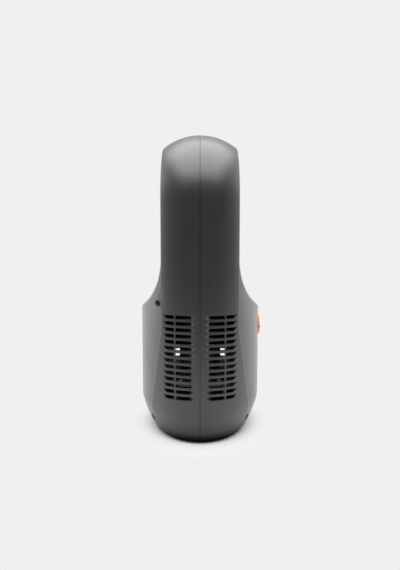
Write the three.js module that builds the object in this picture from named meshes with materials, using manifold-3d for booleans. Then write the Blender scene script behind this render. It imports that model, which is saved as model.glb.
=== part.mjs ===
// A bladeless hoop fan: a hollow arched hoop on a deeper base that holds the intake slots, the
// motor and impeller, the controls and a battery. Millimetres, +Z up, +X the front (the side that
// the air leaves), the origin on the floor under the middle of the fan.
import * as THREE from "three";
import { mergeGeometries, mergeVertices } from "three/addons/utils/BufferGeometryUtils.js";
import Module from "manifold-3d";

const wasm = await Module();
wasm.setup();

// Clearances
const GAP = 0.3; // between parts that seat on each other
const RUNNING = 0.05; // round a shaft, radial
const PAST = 1; // how far a cutter runs past the surface it cuts

// Casing, outside
const HEIGHT = 330;
const HALF_WIDTH = 77.8; // left and right, at the middle of the side
const CROWN_RADIUS = 65.6; // of the rounded side, in plan
const HOOP_HALF_DEPTH = 41; // seam to the flat face of the hoop
const BASE_HALF_DEPTH = 67.7; // seam to the front of the base
const WALL = 2.4;
const FOOT_PROUD = 1.5; // floor to the lower edge of the casing

// The crease between the rounded side and the flank spreads towards the floor
const CREASE_SPREAD_FROM = 118; // height at which it starts
const CREASE_SPREAD = 0.144; // outwards per millimetre down

// Lower end of the casing: its front and back are drawn in by a share, from this height down
const TOE_HEIGHT = 37.3;
const TOE_SHARE = 0.234;
const TOE_POWER = 1.472;
const EDGE_HEIGHT = 10; // of the rounded lower edge, all the way round
const EDGE_DEPTH = 4; // how far that edge is drawn in

// Scoop from the hoop down to the base, an arc seen from the side
const SCOOP_RADIUS = 68;
const SCOOP_TOP = 191;

// Hole of the hoop, and the air slit round it
const HOOP_BAND = 22; // side of the casing to the hole
const HOLE_FLOOR = 172;
const HOLE_CORNER = 30;
const FRONT_LIP_BACK = 28; // seam to the inner edge of the front lip
const REAR_LIP_FRONT = 24; // seam to the inner edge of the rear lip
const SLIT = 2;
const RING_WALL = 2;
const RING_OVERLAP = 6;
const RAMP_LENGTH = 15; // of the curved surface that the air follows out of the slit
const RAMP_POWER = 1.6;
const NOSE_LENGTH = 6;

// Intake slots, on both sides of the seam and on both sides of the casing
const SLOT_ROWS = 14;
const SLOT_PITCH = 6.5;
const SLOT_TOP = 132.8; // middle of the highest row
const SLOT_HEIGHT = 3.5;
const SLOT_START = 10.2; // seam to the inner slot
const INNER_SLOT = 15.2;
const SLOT_WEB = 1.7;
const OUTER_SLOT = 7.8;
const SLOT_REACH = 26; // how far in from the side the slots are cut

// Screws
const SHANK_RADIUS = 1.5;
const SCREW_HOLE = 1.8; // radius
const HEAD_RADIUS = 2.7;
const HEAD_HEIGHT = 2;
const BOSS_WALL = 1.2;
const WELL_RADIUS = 3.4;
const UPPER_WELL = { inboard: 3.9, z: 145.7, sink: 0.6 }; // from the hoop's crease and its face
const LOWER_WELL = { y: 45, z: 18, floor: 44 };
const UPPER_SCREW_BITE = 14; // past the seam into the front boss
const LOWER_BOSS_END = 30; // seam to the inner end of the lower bosses
const LOWER_SCREW_BITE = 12;
const SPARE = 1; // how much deeper a blind screw hole is than the screw's bite

// Base plate and feet
const BASE_PLATE = 2.2;
const STANDOFF = 1;
const FOOT_RADIUS = 6;
const FOOT_SINK = 0.8; // how deep its seat goes into the base plate
const FOOT = { x: 30, y: 40 };

// Chassis: tray, posts and lugs
const TRAY_FLOOR = 2.4;
const TRAY_WALL = 2;
const POST_RADIUS = 4;
const POST_INSET = 6.3; // edge of the motor plate to the middle of a post
const POST_ANGLE = 1.2035; // from the X axis, in radians
const POST_SCREW_BITE = 10;
const TRAY_RIM_HEIGHT = 12;

// Battery cells, lying across the fan
const CELL_RADIUS = 9.25;
const CELL_LENGTH = 65;
const CELL_PITCH = 20;
const CELL_COUNT = 4;
const CELL_CLEARANCE = 1.8; // charging board to the first cell

// Motor and its cradle
const PLATE_INSET = 5.7; // front of the base to the edge of the motor plate
const PLATE_BOTTOM = 56;
const PLATE_THICKNESS = 3;
const NOTCH = 7; // in the edge of the motor plate, for the battery lead
const POD_RADIUS = 22.5;
const POD_WALL = 2;
const POD_TOP = 91; // where the cap closes the pod
const POD_FILLET = 5;
const CAP_HEIGHT = 10.5;
const CAP_LIP = 2; // lower edge of the cap to the upper bearing
const CAP_BORE = 1; // clearance round the shaft
const SHAFT_RADIUS = 2.5;
const BEARING_RADIUS = 7;
const BEARING_HEIGHT = 5;
const LOWER_SEAT = 5.4; // plate bottom to the seat of the lower bearing
const BEARING_WALL = 2.5;
const STATOR_LIFT = 10.7; // plate top to the stator's ledge
const STATOR_LEDGE = 4;
const STATOR_HEIGHT = 18;
const STATOR_BORE = 10.8;
const AIR_GAP = 0.6;

// Impeller, duct and diffuser
const IMPELLER_BOTTOM = 105;
const IMPELLER_HEIGHT = 28;
const HUB_BOTTOM_RADIUS = 23.4;
const HUB_TOP_RADIUS = 31;
const HUB_WALL = 2;
const HUB_WEB = 16.5; // impeller bottom to the web
const HUB_SLEEVE_RADIUS = 8;
const HUB_SLEEVE = { bottom: 7, top: 23 };
const BLADE_COUNT = 7;
const BLADE_WRAP = 0.75; // radians
const BLADE_THICKNESS = 1.6;
const BLADE_INSET = 1; // ends of the hub to the edges of the blades
const TIP_CLEARANCE = 0.8;
const DUCT_RADIUS = 42;
const DUCT_WALL = 2;
const DUCT_BOTTOM = 97;
const DUCT_TOP = 154;
const BELL = { width: 4.5, height: 7.2 }; // how far the bellmouth opens, and over what height
const DUCT_PLATE_BOTTOM = 136.2;
const DUCT_PLATE = 2.2;
const LEDGE = { width: 4, thickness: 2, reach: 50 };
const GASKET = { width: 4, thickness: 1.6 };
const DIFFUSER_GAP = 4; // impeller to diffuser
const VANE_COUNT = 6;
const VANE_WRAP = -0.5;
const NUT_RADIUS = 5;
const NUT_HEIGHT = 3.5;

// Controls, behind the front of the base
const DIAL = { z: 114.4, radius: 12.2, proud: 1.5, sink: 2.5, bore: 1, bevel: 0.8 };
const DIAL_CLEARANCE = 0.4;
const MARK = { width: 2.6, length: 4.4, depth: 1.2, clearance: 0.15, angle: 0.14 };
const SPINDLE_RADIUS = 3;
const ENCODER = { size: 13, depth: 4.6, floor: 1.5, clearance: 0.4 };
const BUTTON = { z: 87, radius: 2.6, proud: 1, travel: 0.6, flange: 1.1, flangeHeight: 1.2 };
const BUTTON_CLEARANCE = 0.3;
const SWITCH = { size: 6, depth: 3.2, plungerRadius: 1.6, plungerHeight: 0.8 };
const BOARD = { setback: 12.7, thickness: 1.6, halfWidth: 22, bottom: 76, top: 126 };
const BOARD_POST = { radius: 2.8, inset: 4 };
const BOARD_SCREW_BITE = 3.5;

// Charging inlet at the back
const INLET = { z: 24.2, width: 9, height: 3.4, length: 7.5, clearance: 0.25 };
const INLET_LIP = 1; // rear surface to the mouth of the socket
const INLET_SHELL = { wall: 0.4, back: 1 };
const TONGUE = { width: 6.3, thickness: 0.8, inset: 1 };
const CHARGER = { length: 18, halfWidth: 9, thickness: 1.6, setback: 2 };
const LEAD_RADIUS = 1.5;
const MOTOR_LEAD = { stub: 10, lift: 3, overlap: 8 };
const BATTERY_LEAD = { stub: 7, bend: 3, drop: 6 };

// Fineness of the curved surfaces
const EDGE_LEVELS = [0.08, 0.27, 0.56, 1]; // shares of the rounded edge's height
const TOE_LEVELS = [0.25, 0.55, 1]; // shares of the toe's height over that edge
const CROWN_STEPS = 5;
const FLANK_STEPS = 5;
const HOOP_SEGMENTS = 40;
const HOLE_STEPS = 18;
const CORNER_STEPS = 4;
const SCOOP_STEPS = 7;
const TURNED_SEGMENTS = 20;
const ROD_SEGMENTS = 10;
const SHANK_SEGMENTS = 8;
const WIDE_SEGMENTS = 28;
const CAP_STEPS = 5;
const BELL_STEPS = 3;
const RAMP_STEPS = 3;
const DOME_STEPS = 3;
const LEAD_SEGMENTS = 8;
const LEAD_STEPS = 14;

// Heights and depths that follow
const HOOP_CENTRE = HEIGHT - HALF_WIDTH;
const CROWN_CENTRE = HALF_WIDTH - CROWN_RADIUS;
const HOLE_HALF_WIDTH = HALF_WIDTH - HOOP_BAND;
const creaseY = CROWN_CENTRE + Math.sqrt(CROWN_RADIUS ** 2 - HOOP_HALF_DEPTH ** 2);
const upperWellY = creaseY - UPPER_WELL.inboard;
const upperWellFloor = HOOP_HALF_DEPTH - UPPER_WELL.sink;
const PLATE_RADIUS = BASE_HALF_DEPTH - PLATE_INSET;
const postReach = PLATE_RADIUS - POST_INSET;
const POST = { x: postReach * Math.cos(POST_ANGLE), y: postReach * Math.sin(POST_ANGLE) };
const PLATE_TOP = PLATE_BOTTOM + PLATE_THICKNESS;
const TRAY_BOTTOM = FOOT_PROUD + BASE_PLATE + STANDOFF + GAP;
const TRAY_TOP = TRAY_BOTTOM + TRAY_FLOOR;
const BEYOND = 100; // past any surface of the casing

// ---- Solids -------------------------------------------------------------------------------

// A closed three.js geometry as a solid that can be cut and joined.
function solid(geometry) {
  const bare = new THREE.BufferGeometry();
  bare.setAttribute("position", geometry.getAttribute("position"));
  if (geometry.index) bare.setIndex(geometry.index);
  const merged = mergeVertices(bare, 1e-4);
  const corners = merged.index.array;
  const kept = [];
  for (let i = 0; i < corners.length; i += 3) {
    const [a, b, c] = [corners[i], corners[i + 1], corners[i + 2]];
    if (a !== b && b !== c && c !== a) kept.push(a, b, c);
  }
  const vertProperties = new Float32Array(merged.attributes.position.array);
  return new wasm.Manifold(
    new wasm.Mesh({ numProp: 3, vertProperties, triVerts: new Uint32Array(kept) }),
  );
}

function geometryOf(shape) {
  const mesh = shape.getMesh();
  const points = new Float32Array(mesh.numVert * 3);
  for (let i = 0; i < mesh.numVert; i++) {
    const start = i * mesh.numProp;
    points.set(mesh.vertProperties.subarray(start, start + 3), i * 3);
  }
  const geometry = new THREE.BufferGeometry();
  geometry.setAttribute("position", new THREE.BufferAttribute(points, 3));
  geometry.setIndex(new THREE.BufferAttribute(new Uint32Array(mesh.triVerts), 1));
  return geometry.toNonIndexed();
}

const fuse = (first, ...others) => others.reduce((a, b) => a.add(b), first);
const cut = (first, ...others) => others.reduce((a, b) => a.subtract(b), first);
const common = (first, ...others) => others.reduce((a, b) => a.intersect(b), first);

function boxGeometry(x, y, z) {
  const geometry = new THREE.BoxGeometry(x[1] - x[0], y[1] - y[0], z[1] - z[0]);
  return geometry.translate((x[0] + x[1]) / 2, (y[0] + y[1]) / 2, (z[0] + z[1]) / 2);
}

const box = (x, y, z) => solid(boxGeometry(x, y, z));

// A round rod from one value to another along X ("x") or Z ("z"). at is (y, z) or (x, y).
function rod(axis, radius, from, to, at, segments = ROD_SEGMENTS) {
  const low = Math.min(from, to);
  const length = Math.abs(to - from);
  const geometry = new THREE.CylinderGeometry(radius, radius, length, segments);
  geometry.translate(0, low + length / 2, 0);
  if (axis === "x") {
    geometry.rotateZ(-Math.PI / 2).translate(0, at[0], at[1]);
  } else {
    geometry.rotateX(Math.PI / 2).translate(at[0], at[1], 0);
  }
  return solid(geometry);
}

// A closed outline of [radius, height] points turned round the Z axis.
function turned(outline, segments = TURNED_SEGMENTS) {
  const points = outline.map(([r, z]) => new THREE.Vector2(r, z));
  if (THREE.ShapeUtils.area(points) > 0) points.reverse();
  points.push(points[0].clone());
  const geometry = new THREE.LatheGeometry(points.reverse(), segments);
  return solid(geometry.rotateX(Math.PI / 2));
}

// Points of a quarter circle of radius one, from [1, 0] to [0, 1].
function quarter(steps) {
  const points = [];
  for (let i = 0; i <= steps; i++) {
    const a = (Math.PI * i) / (2 * steps);
    points.push([Math.cos(a), Math.sin(a)]);
  }
  return points;
}

const ring = (inner, outer, bottom, top) =>
  turned([[inner, bottom], [outer, bottom], [outer, top], [inner, top]]);

// Surface through loops of points that all run the same way round. Open at its ends, it gets
// flat caps; closed, its last loop joins its first.
function skin(loops, closed) {
  const count = loops[0].length;
  const points = loops.flat();
  const corners = [];
  const spans = closed ? loops.length : loops.length - 1;
  for (let level = 0; level < spans; level++) {
    const low = level * count;
    const high = ((level + 1) % loops.length) * count;
    for (let i = 0; i < count; i++) {
      const next = (i + 1) % count;
      corners.push(low + i, low + next, high + next, low + i, high + next, high + i);
    }
  }
  if (!closed) {
    const last = (loops.length - 1) * count;
    const floor = points.push(middle(loops[0])) - 1;
    const roof = points.push(middle(loops.at(-1))) - 1;
    for (let i = 0; i < count; i++) {
      const next = (i + 1) % count;
      corners.push(floor, next, i, roof, last + i, last + next);
    }
  }
  const geometry = new THREE.BufferGeometry().setFromPoints(points);
  return geometry.setIndex(corners);
}

function middle(points) {
  const sum = points.reduce((a, p) => a.add(p), new THREE.Vector3());
  return sum.divideScalar(points.length);
}

// A sheet of the given thickness: place(u, v, side) gives its points, u and v from 0 to 1 and
// side -1 or 1 for its two faces.
function sheet(place, uSteps, vSteps) {
  const loops = [];
  for (let i = 0; i <= vSteps; i++) {
    const v = i / vSteps;
    const there = [];
    const back = [];
    for (let j = 0; j <= uSteps; j++) {
      there.push(place(j / uSteps, v, 1));
      back.unshift(place(j / uSteps, v, -1));
    }
    loops.push([...there, ...back]);
  }
  const count = loops[0].length;
  const corners = [];
  for (let i = 0; i < vSteps; i++)
    for (let j = 0; j < count; j++) {
      const next = (j + 1) % count;
      const low = i * count;
      const high = low + count;
      corners.push(low + j, low + next, high + next, low + j, high + next, high + j);
    }
  const last = vSteps * count;
  for (let j = 0; j < uSteps; j++) {
    const pair = count - 1 - j;
    corners.push(j, pair, pair - 1, j, pair - 1, j + 1);
    corners.push(last + j, last + pair - 1, last + pair, last + j, last + j + 1, last + pair - 1);
  }
  return new THREE.BufferGeometry().setFromPoints(loops.flat()).setIndex(corners);
}

// ---- Casing -------------------------------------------------------------------------------

// Share by which the casing's lower end is drawn in, along X and along Y.
function drawnIn(z) {
  const toe = Math.max(0, 1 - z / TOE_HEIGHT) ** TOE_POWER;
  const below = Math.max(0, 1 - (z - FOOT_PROUD) / EDGE_HEIGHT);
  const edge = EDGE_DEPTH * (1 - Math.sqrt(1 - Math.min(1, below) ** 2));
  return { x: 1 - TOE_SHARE * toe - edge / BASE_HALF_DEPTH, y: 1 - edge / HALF_WIDTH };
}

// Points of the rounded side from the crease to the middle, inset from the outer surface.
function crownArc(crease, inset) {
  const radius = CROWN_RADIUS - inset;
  const angle = Math.asin(crease / radius);
  const points = [];
  for (let i = 0; i <= CROWN_STEPS; i++) {
    const a = angle * (1 - i / CROWN_STEPS);
    points.push([radius * Math.sin(a), CROWN_CENTRE + radius * Math.cos(a)]);
  }
  return points;
}

// Points of the flank from the front tip, where it faces straight ahead, to the crease.
function flankArc(tip, crease) {
  const [x, y] = crease;
  const depth = tip - x;
  const radius = (depth * depth + y * y) / (2 * depth);
  const angle = Math.asin(y / radius);
  const points = [];
  for (let i = 0; i < FLANK_STEPS; i++) {
    const a = (angle * i) / FLANK_STEPS;
    points.push([tip - radius * (1 - Math.cos(a)), radius * Math.sin(a)]);
  }
  return points;
}

// The casing's outline at a height, counter-clockwise seen from above.
function planOutline(height, inset) {
  const spread = Math.max(0, CREASE_SPREAD_FROM - height) * CREASE_SPREAD;
  const crown = crownArc(HOOP_HALF_DEPTH - inset + spread, inset);
  const flank = flankArc(BASE_HALF_DEPTH - inset, crown[0]);
  const share = drawnIn(height);
  const quarter = [...flank, ...crown].map(([x, y]) => [x * share.x, y * share.y]);
  const forth = quarter.slice(0, -1);
  const back = quarter.slice(1).reverse();
  return [
    ...forth,
    ...back.map(([x, y]) => [-x, y]),
    ...forth.map(([x, y]) => [-x, -y]),
    ...back.map(([x, y]) => [x, -y]),
  ];
}

const level = (outline, z) => outline.map(([x, y]) => new THREE.Vector3(x, y, z));

// Upright slab between two heights whose edge follows the casing at one height.
function plate(outlineHeight, inset, bottom, top) {
  const outline = planOutline(outlineHeight, inset);
  return solid(skin([level(outline, bottom), level(outline, top)], false));
}

// Base and legs of the hoop: the outline from the lower edge to the centre of the arch.
function legs(inset, bottom) {
  const edge = EDGE_LEVELS.map((share) => FOOT_PROUD + EDGE_HEIGHT * share);
  const toe = TOE_LEVELS.map((share) => edge.at(-1) + (TOE_HEIGHT - edge.at(-1)) * share);
  const heights = [bottom, ...edge, ...toe, CREASE_SPREAD_FROM, HOOP_CENTRE];
  return solid(skin(heights.map((z) => level(planOutline(z, inset), z)), false));
}

// The arch: the rounded side turned round a level line through the centre of the hoop.
function arch(inset) {
  const depth = HOOP_HALF_DEPTH - inset;
  const half = crownArc(depth, inset);
  const rim = [...half, ...half.slice(0, -1).reverse().map(([x, y]) => [-x, y])];
  const outline = [[depth, 0], ...rim, [-depth, 0]];
  const points = outline.map(([x, r]) => new THREE.Vector2(r, x));
  const geometry = new THREE.LatheGeometry(points.reverse(), HOOP_SEGMENTS);
  return solid(geometry.rotateZ(-Math.PI / 2).translate(0, 0, HOOP_CENTRE));
}

// Seen from the side: the base, the scoops and the hoop, as a slab right across the fan.
function sideProfile(inset) {
  const hoop = HOOP_HALF_DEPTH - inset;
  const radius = SCOOP_RADIUS + inset;
  const centre = HOOP_HALF_DEPTH + SCOOP_RADIUS;
  const last = Math.acos((centre - BASE_HALF_DEPTH) / radius);
  const front = [[BASE_HALF_DEPTH, -BEYOND]];
  for (let i = SCOOP_STEPS; i >= 0; i--) {
    const a = (last * i) / SCOOP_STEPS;
    front.push([centre - radius * Math.cos(a), SCOOP_TOP - radius * Math.sin(a)]);
  }
  front.push([hoop, HEIGHT + BEYOND]);
  const outline = [...front, ...front.map(([x, z]) => [-x, z]).reverse()];
  const shape = new THREE.Shape(outline.map(([x, z]) => new THREE.Vector2(x, z)));
  const geometry = new THREE.ExtrudeGeometry(shape, { depth: 2 * BEYOND, bevelEnabled: false });
  geometry.translate(0, 0, -BEYOND);
  return solid(geometry.rotateX(Math.PI / 2));
}

// The whole casing as a solid block, inset from its outer surface.
function block(inset, bottom) {
  return fuse(common(legs(inset, bottom), sideProfile(inset)), arch(inset));
}

// Points (y, z) round the hoop's hole, moved outwards by an offset.
function holeOutline(offset) {
  const points = [];
  const radius = HOLE_HALF_WIDTH + offset;
  for (let i = 0; i <= HOLE_STEPS; i++) {
    const a = (Math.PI * i) / HOLE_STEPS;
    points.push([radius * Math.cos(a), HOOP_CENTRE + radius * Math.sin(a)]);
  }
  const corner = HOLE_CORNER + offset;
  const middleY = HOLE_HALF_WIDTH - HOLE_CORNER;
  const middleZ = HOLE_FLOOR + HOLE_CORNER;
  for (const [side, start] of [[-1, Math.PI], [1, 1.5 * Math.PI]])
    for (let i = 0; i <= CORNER_STEPS; i++) {
      const a = start + (Math.PI * i) / (2 * CORNER_STEPS);
      points.push([side * middleY + corner * Math.cos(a), middleZ + corner * Math.sin(a)]);
    }
  return points;
}

// A plug of the hole's shape between two depths.
function holePlug(offset, back, front) {
  const shape = new THREE.Shape(holeOutline(offset).map(([y, z]) => new THREE.Vector2(y, z)));
  const depth = front - back;
  const geometry = new THREE.ExtrudeGeometry(shape, { depth, bevelEnabled: false });
  geometry.translate(0, 0, back);
  const toDepth = new THREE.Matrix4().makeBasis(
    new THREE.Vector3(0, 1, 0),
    new THREE.Vector3(0, 0, 1),
    new THREE.Vector3(1, 0, 0),
  );
  return solid(geometry.applyMatrix4(toDepth));
}

// A closed section of [x, offset] points carried round the hole.
function carriedRound(section) {
  const loops = section.map(([x, offset]) =>
    holeOutline(offset).map(([y, z]) => new THREE.Vector3(x, y, z)),
  );
  return solid(skin(loops, true));
}

// Where a slot starts and ends, measured from the seam.
const slotSpans = [
  [SLOT_START, SLOT_START + INNER_SLOT],
  [SLOT_START + INNER_SLOT + SLOT_WEB, SLOT_START + INNER_SLOT + SLOT_WEB + OUTER_SLOT],
];

function slots(side) {
  const inner = HALF_WIDTH - SLOT_REACH;
  const cutters = [];
  for (let row = 0; row < SLOT_ROWS; row++) {
    const z = SLOT_TOP - row * SLOT_PITCH;
    const height = [z - SLOT_HEIGHT / 2, z + SLOT_HEIGHT / 2];
    for (const face of [-1, 1])
      for (const [start, end] of slotSpans) {
        const across = side > 0 ? [start, end] : [-end, -start];
        const through = face > 0 ? [inner, BEYOND] : [-BEYOND, -inner];
        cutters.push(boxGeometry(across, through, height));
      }
  }
  return solid(mergeGeometries(cutters));
}

// Ledges inside the front and the back that the duct's plate rests on.
function ledges() {
  const top = DUCT_PLATE_BOTTOM - GAP;
  const bottom = top - LEDGE.thickness;
  const band = cut(
    plate(bottom, 0, bottom, top),
    plate(bottom, WALL + LEDGE.width, bottom - PAST, top + PAST),
  );
  return common(band, box([-BEYOND, BEYOND], [-LEDGE.reach, LEDGE.reach], [bottom, top]));
}

const lowerScrewPlaces = [
  [1, -1],
  [1, 1],
  [-1, -1],
  [-1, 1],
];

// Both halves of the casing in one: walls, lips round the hole, ledges and screw bosses.
function casing() {
  const outside = block(0, FOOT_PROUD);
  const inside = block(WALL, FOOT_PROUD - PAST);
  const boss = WELL_RADIUS + BOSS_WALL;
  const lips = fuse(
    holePlug(WALL, FRONT_LIP_BACK, BEYOND),
    holePlug(WALL, -BEYOND, -REAR_LIP_FRONT),
  );
  const bosses = [-1, 1].map((face) =>
    rod("x", boss, -BEYOND, BEYOND, [face * upperWellY, UPPER_WELL.z]),
  );
  const lowerBosses = lowerScrewPlaces.map(([side, face]) =>
    rod("x", boss, side * LOWER_BOSS_END, side * BEYOND, [face * LOWER_WELL.y, LOWER_WELL.z]),
  );
  const shell = fuse(cut(outside, inside), common(lips, outside), common(ledges(), outside));
  return cut(
    fuse(shell, common(fuse(...bosses, ...lowerBosses), outside)),
    holePlug(0, -BEYOND, BEYOND),
  );
}

function lowerWell(side, face) {
  const at = [face * LOWER_WELL.y, LOWER_WELL.z];
  return fuse(
    rod("x", WELL_RADIUS, side * LOWER_WELL.floor, side * BEYOND, at),
    rod("x", SCREW_HOLE, side * (LOWER_BOSS_END - PAST), side * (LOWER_WELL.floor + PAST), at),
  );
}

function frontShell(whole) {
  const half = common(whole, box([GAP / 2, BEYOND], [-BEYOND, BEYOND], [0, HEIGHT + PAST]));
  const outside = block(0, FOOT_PROUD);
  const dialFloor = BASE_HALF_DEPTH - DIAL.sink;
  const dialAt = [0, DIAL.z];
  const dialBoss = rod("x", DIAL.radius + WALL, dialFloor - WALL, BEYOND, dialAt, TURNED_SEGMENTS);
  const posts = boardPostPlaces.map((at) =>
    rod("x", BOARD_POST.radius, boardFront + GAP, BEYOND, at),
  );
  const postHoles = boardPostPlaces.map((at) =>
    rod("x", SCREW_HOLE, boardBack, boardFront + BOARD_SCREW_BITE + SPARE, at),
  );
  const screwHoles = [-1, 1].map((face) =>
    rod("x", SCREW_HOLE, 0, UPPER_SCREW_BITE + SPARE, [face * upperWellY, UPPER_WELL.z]),
  );
  return cut(
    fuse(half, common(fuse(dialBoss, ...posts), outside)),
    rod("x", DIAL.radius + DIAL_CLEARANCE, dialFloor, BEYOND, dialAt, TURNED_SEGMENTS),
    rod("x", SPINDLE_RADIUS + DIAL_CLEARANCE, 0, BEYOND, dialAt),
    rod("x", BUTTON.radius + BUTTON_CLEARANCE, 0, BEYOND, [0, BUTTON.z]),
    ...postHoles,
    ...screwHoles,
    lowerWell(1, -1),
    lowerWell(1, 1),
    slots(1),
  );
}

function rearShell(whole) {
  const half = common(whole, box([-BEYOND, -GAP / 2], [-BEYOND, BEYOND], [0, HEIGHT + PAST]));
  const wells = [-1, 1].map((face) => {
    const at = [face * upperWellY, UPPER_WELL.z];
    return fuse(
      rod("x", WELL_RADIUS, -BEYOND, -upperWellFloor, at),
      rod("x", SCREW_HOLE, -upperWellFloor - PAST, 0, at),
    );
  });
  const mouth = INLET.clearance;
  const halfWidth = INLET.width / 2 + mouth;
  const halfHeight = INLET.height / 2 + mouth;
  const inlet = box(
    [-BEYOND, -BASE_HALF_DEPTH / 2],
    [-halfWidth, halfWidth],
    [INLET.z - halfHeight, INLET.z + halfHeight],
  );
  return cut(half, ...wells, lowerWell(-1, -1), lowerWell(-1, 1), slots(-1), inlet);
}

// Inner wall of the hoop. Its front skirt wraps the front lip and its nose lies behind the rear
// lip, where the slit lets the air out over the ramp.
function nozzleRing() {
  const front = FRONT_LIP_BACK - GAP;
  const skirt = WALL + GAP;
  const nose = WALL + SLIT;
  const rampEnd = -REAR_LIP_FRONT + RAMP_LENGTH;
  const back = -REAR_LIP_FRONT - NOSE_LENGTH;
  const ramp = [];
  for (let i = 0; i < RAMP_STEPS; i++) {
    const share = i / RAMP_STEPS;
    ramp.push([-REAR_LIP_FRONT + RAMP_LENGTH * share, nose * (1 - share) ** RAMP_POWER]);
  }
  return carriedRound([
    [front, 0],
    [front, skirt],
    [front + RING_OVERLAP, skirt],
    [front + RING_OVERLAP, skirt + RING_WALL],
    [front - RING_WALL, skirt + RING_WALL],
    [front - 2 * RING_WALL, RING_WALL],
    [rampEnd, RING_WALL],
    [-REAR_LIP_FRONT, nose + RING_WALL],
    [back, nose + RING_WALL],
    [back, nose],
    ...ramp,
    [rampEnd, 0],
  ].reverse());
}

// ---- Base, chassis and battery --------------------------------------------------------------

const fourCorners = (at) => [
  [at.x, at.y],
  [-at.x, at.y],
  [-at.x, -at.y],
  [at.x, -at.y],
];

const headSeat = FOOT_PROUD + BASE_PLATE / 2;

function basePlate() {
  const top = FOOT_PROUD + BASE_PLATE;
  const body = plate(FOOT_PROUD, WALL + GAP, FOOT_PROUD, top);
  const pads = fourCorners(POST).map((at) => rod("z", POST_RADIUS, top - PAST, top + STANDOFF, at));
  const holes = fourCorners(POST).map((at) => rod("z", SCREW_HOLE, 0, TRAY_BOTTOM, at));
  const heads = fourCorners(POST).map((at) => rod("z", HEAD_RADIUS + GAP, 0, headSeat, at));
  const seats = fourCorners(FOOT).map((at) =>
    rod("z", FOOT_RADIUS + GAP, 0, FOOT_PROUD + FOOT_SINK, at, TURNED_SEGMENTS),
  );
  return cut(fuse(body, ...pads), ...holes, ...heads, ...seats);
}

function foot(at) {
  return rod("z", FOOT_RADIUS, 0, FOOT_PROUD + FOOT_SINK - GAP, at, TURNED_SEGMENTS);
}

const chargerBottom = INLET.z - INLET.height / 2 - GAP - CHARGER.thickness;
const innerBack = -BASE_HALF_DEPTH * drawnIn(chargerBottom).x + WALL;
const chargerEnd = innerBack + CHARGER.setback + CHARGER.length;
const firstCell = chargerEnd + CELL_CLEARANCE + CELL_RADIUS;
const lastCell = firstCell + (CELL_COUNT - 1) * CELL_PITCH;
const cellAxis = TRAY_TOP + GAP + CELL_RADIUS;

function chassis() {
  const row = [firstCell - CELL_RADIUS - GAP, lastCell + CELL_RADIUS + GAP];
  const cellEnd = CELL_LENGTH / 2 + GAP;
  const floor = plate(TRAY_BOTTOM, WALL + GAP, TRAY_BOTTOM, TRAY_TOP);
  const posts = fourCorners(POST).map((at) =>
    rod("z", POST_RADIUS, TRAY_BOTTOM, PLATE_BOTTOM - GAP, at),
  );
  const lugEnd = LOWER_BOSS_END - GAP;
  const lugs = [-1, 1].flatMap((face) => {
    const y = face * LOWER_WELL.y;
    const rib = [y - TRAY_WALL, y + TRAY_WALL];
    return [
      rod("x", WELL_RADIUS + BOSS_WALL, -lugEnd, lugEnd, [y, LOWER_WELL.z]),
      box([-lugEnd, lugEnd], rib, [TRAY_BOTTOM, LOWER_WELL.z]),
    ];
  });
  const webs = fourCorners(POST).map(([x, y]) => {
    const lug = Math.sign(y) * LOWER_WELL.y;
    return box(
      [x - TRAY_WALL, x + TRAY_WALL],
      [Math.min(y, lug), Math.max(y, lug)],
      [TRAY_BOTTOM, LOWER_WELL.z],
    );
  });
  const rims = [-1, 1].map((face) => {
    const y = face > 0 ? [cellEnd, cellEnd + TRAY_WALL] : [-cellEnd - TRAY_WALL, -cellEnd];
    return box(row, y, [TRAY_BOTTOM, TRAY_TOP + TRAY_RIM_HEIGHT]);
  });
  const shelf = box(
    [chargerEnd - 2 * TRAY_WALL, chargerEnd],
    [-CHARGER.halfWidth, CHARGER.halfWidth],
    [TRAY_BOTTOM, chargerBottom - GAP],
  );
  const screwHoles = fourCorners(POST).flatMap((at) => [
    rod("z", SCREW_HOLE, 0, TRAY_BOTTOM + POST_SCREW_BITE + SPARE, at),
    rod("z", SCREW_HOLE, PLATE_BOTTOM - POST_SCREW_BITE - SPARE, PLATE_BOTTOM, at),
  ]);
  const lugHoles = lowerScrewPlaces.map(([side, face]) => {
    const inner = LOWER_BOSS_END - LOWER_SCREW_BITE - SPARE;
    const at = [face * LOWER_WELL.y, LOWER_WELL.z];
    return rod("x", SCREW_HOLE, side * inner, side * LOWER_BOSS_END, at);
  });
  return cut(fuse(floor, ...posts, ...lugs, ...webs, ...rims, shelf), ...screwHoles, ...lugHoles);
}

function batteryCell(index) {
  const geometry = new THREE.CylinderGeometry(
    CELL_RADIUS,
    CELL_RADIUS,
    CELL_LENGTH,
    TURNED_SEGMENTS,
  );
  return solid(geometry.translate(firstCell + index * CELL_PITCH, 0, cellAxis));
}

// ---- Motor ----------------------------------------------------------------------------------

const bearingSeat = BEARING_RADIUS + RUNNING;
const lowerBearingBottom = PLATE_BOTTOM + LOWER_SEAT;
const stackBottom = PLATE_TOP + STATOR_LIFT;
const capBottom = POD_TOP + GAP;
const upperBearingBottom = capBottom + CAP_LIP;

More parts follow.
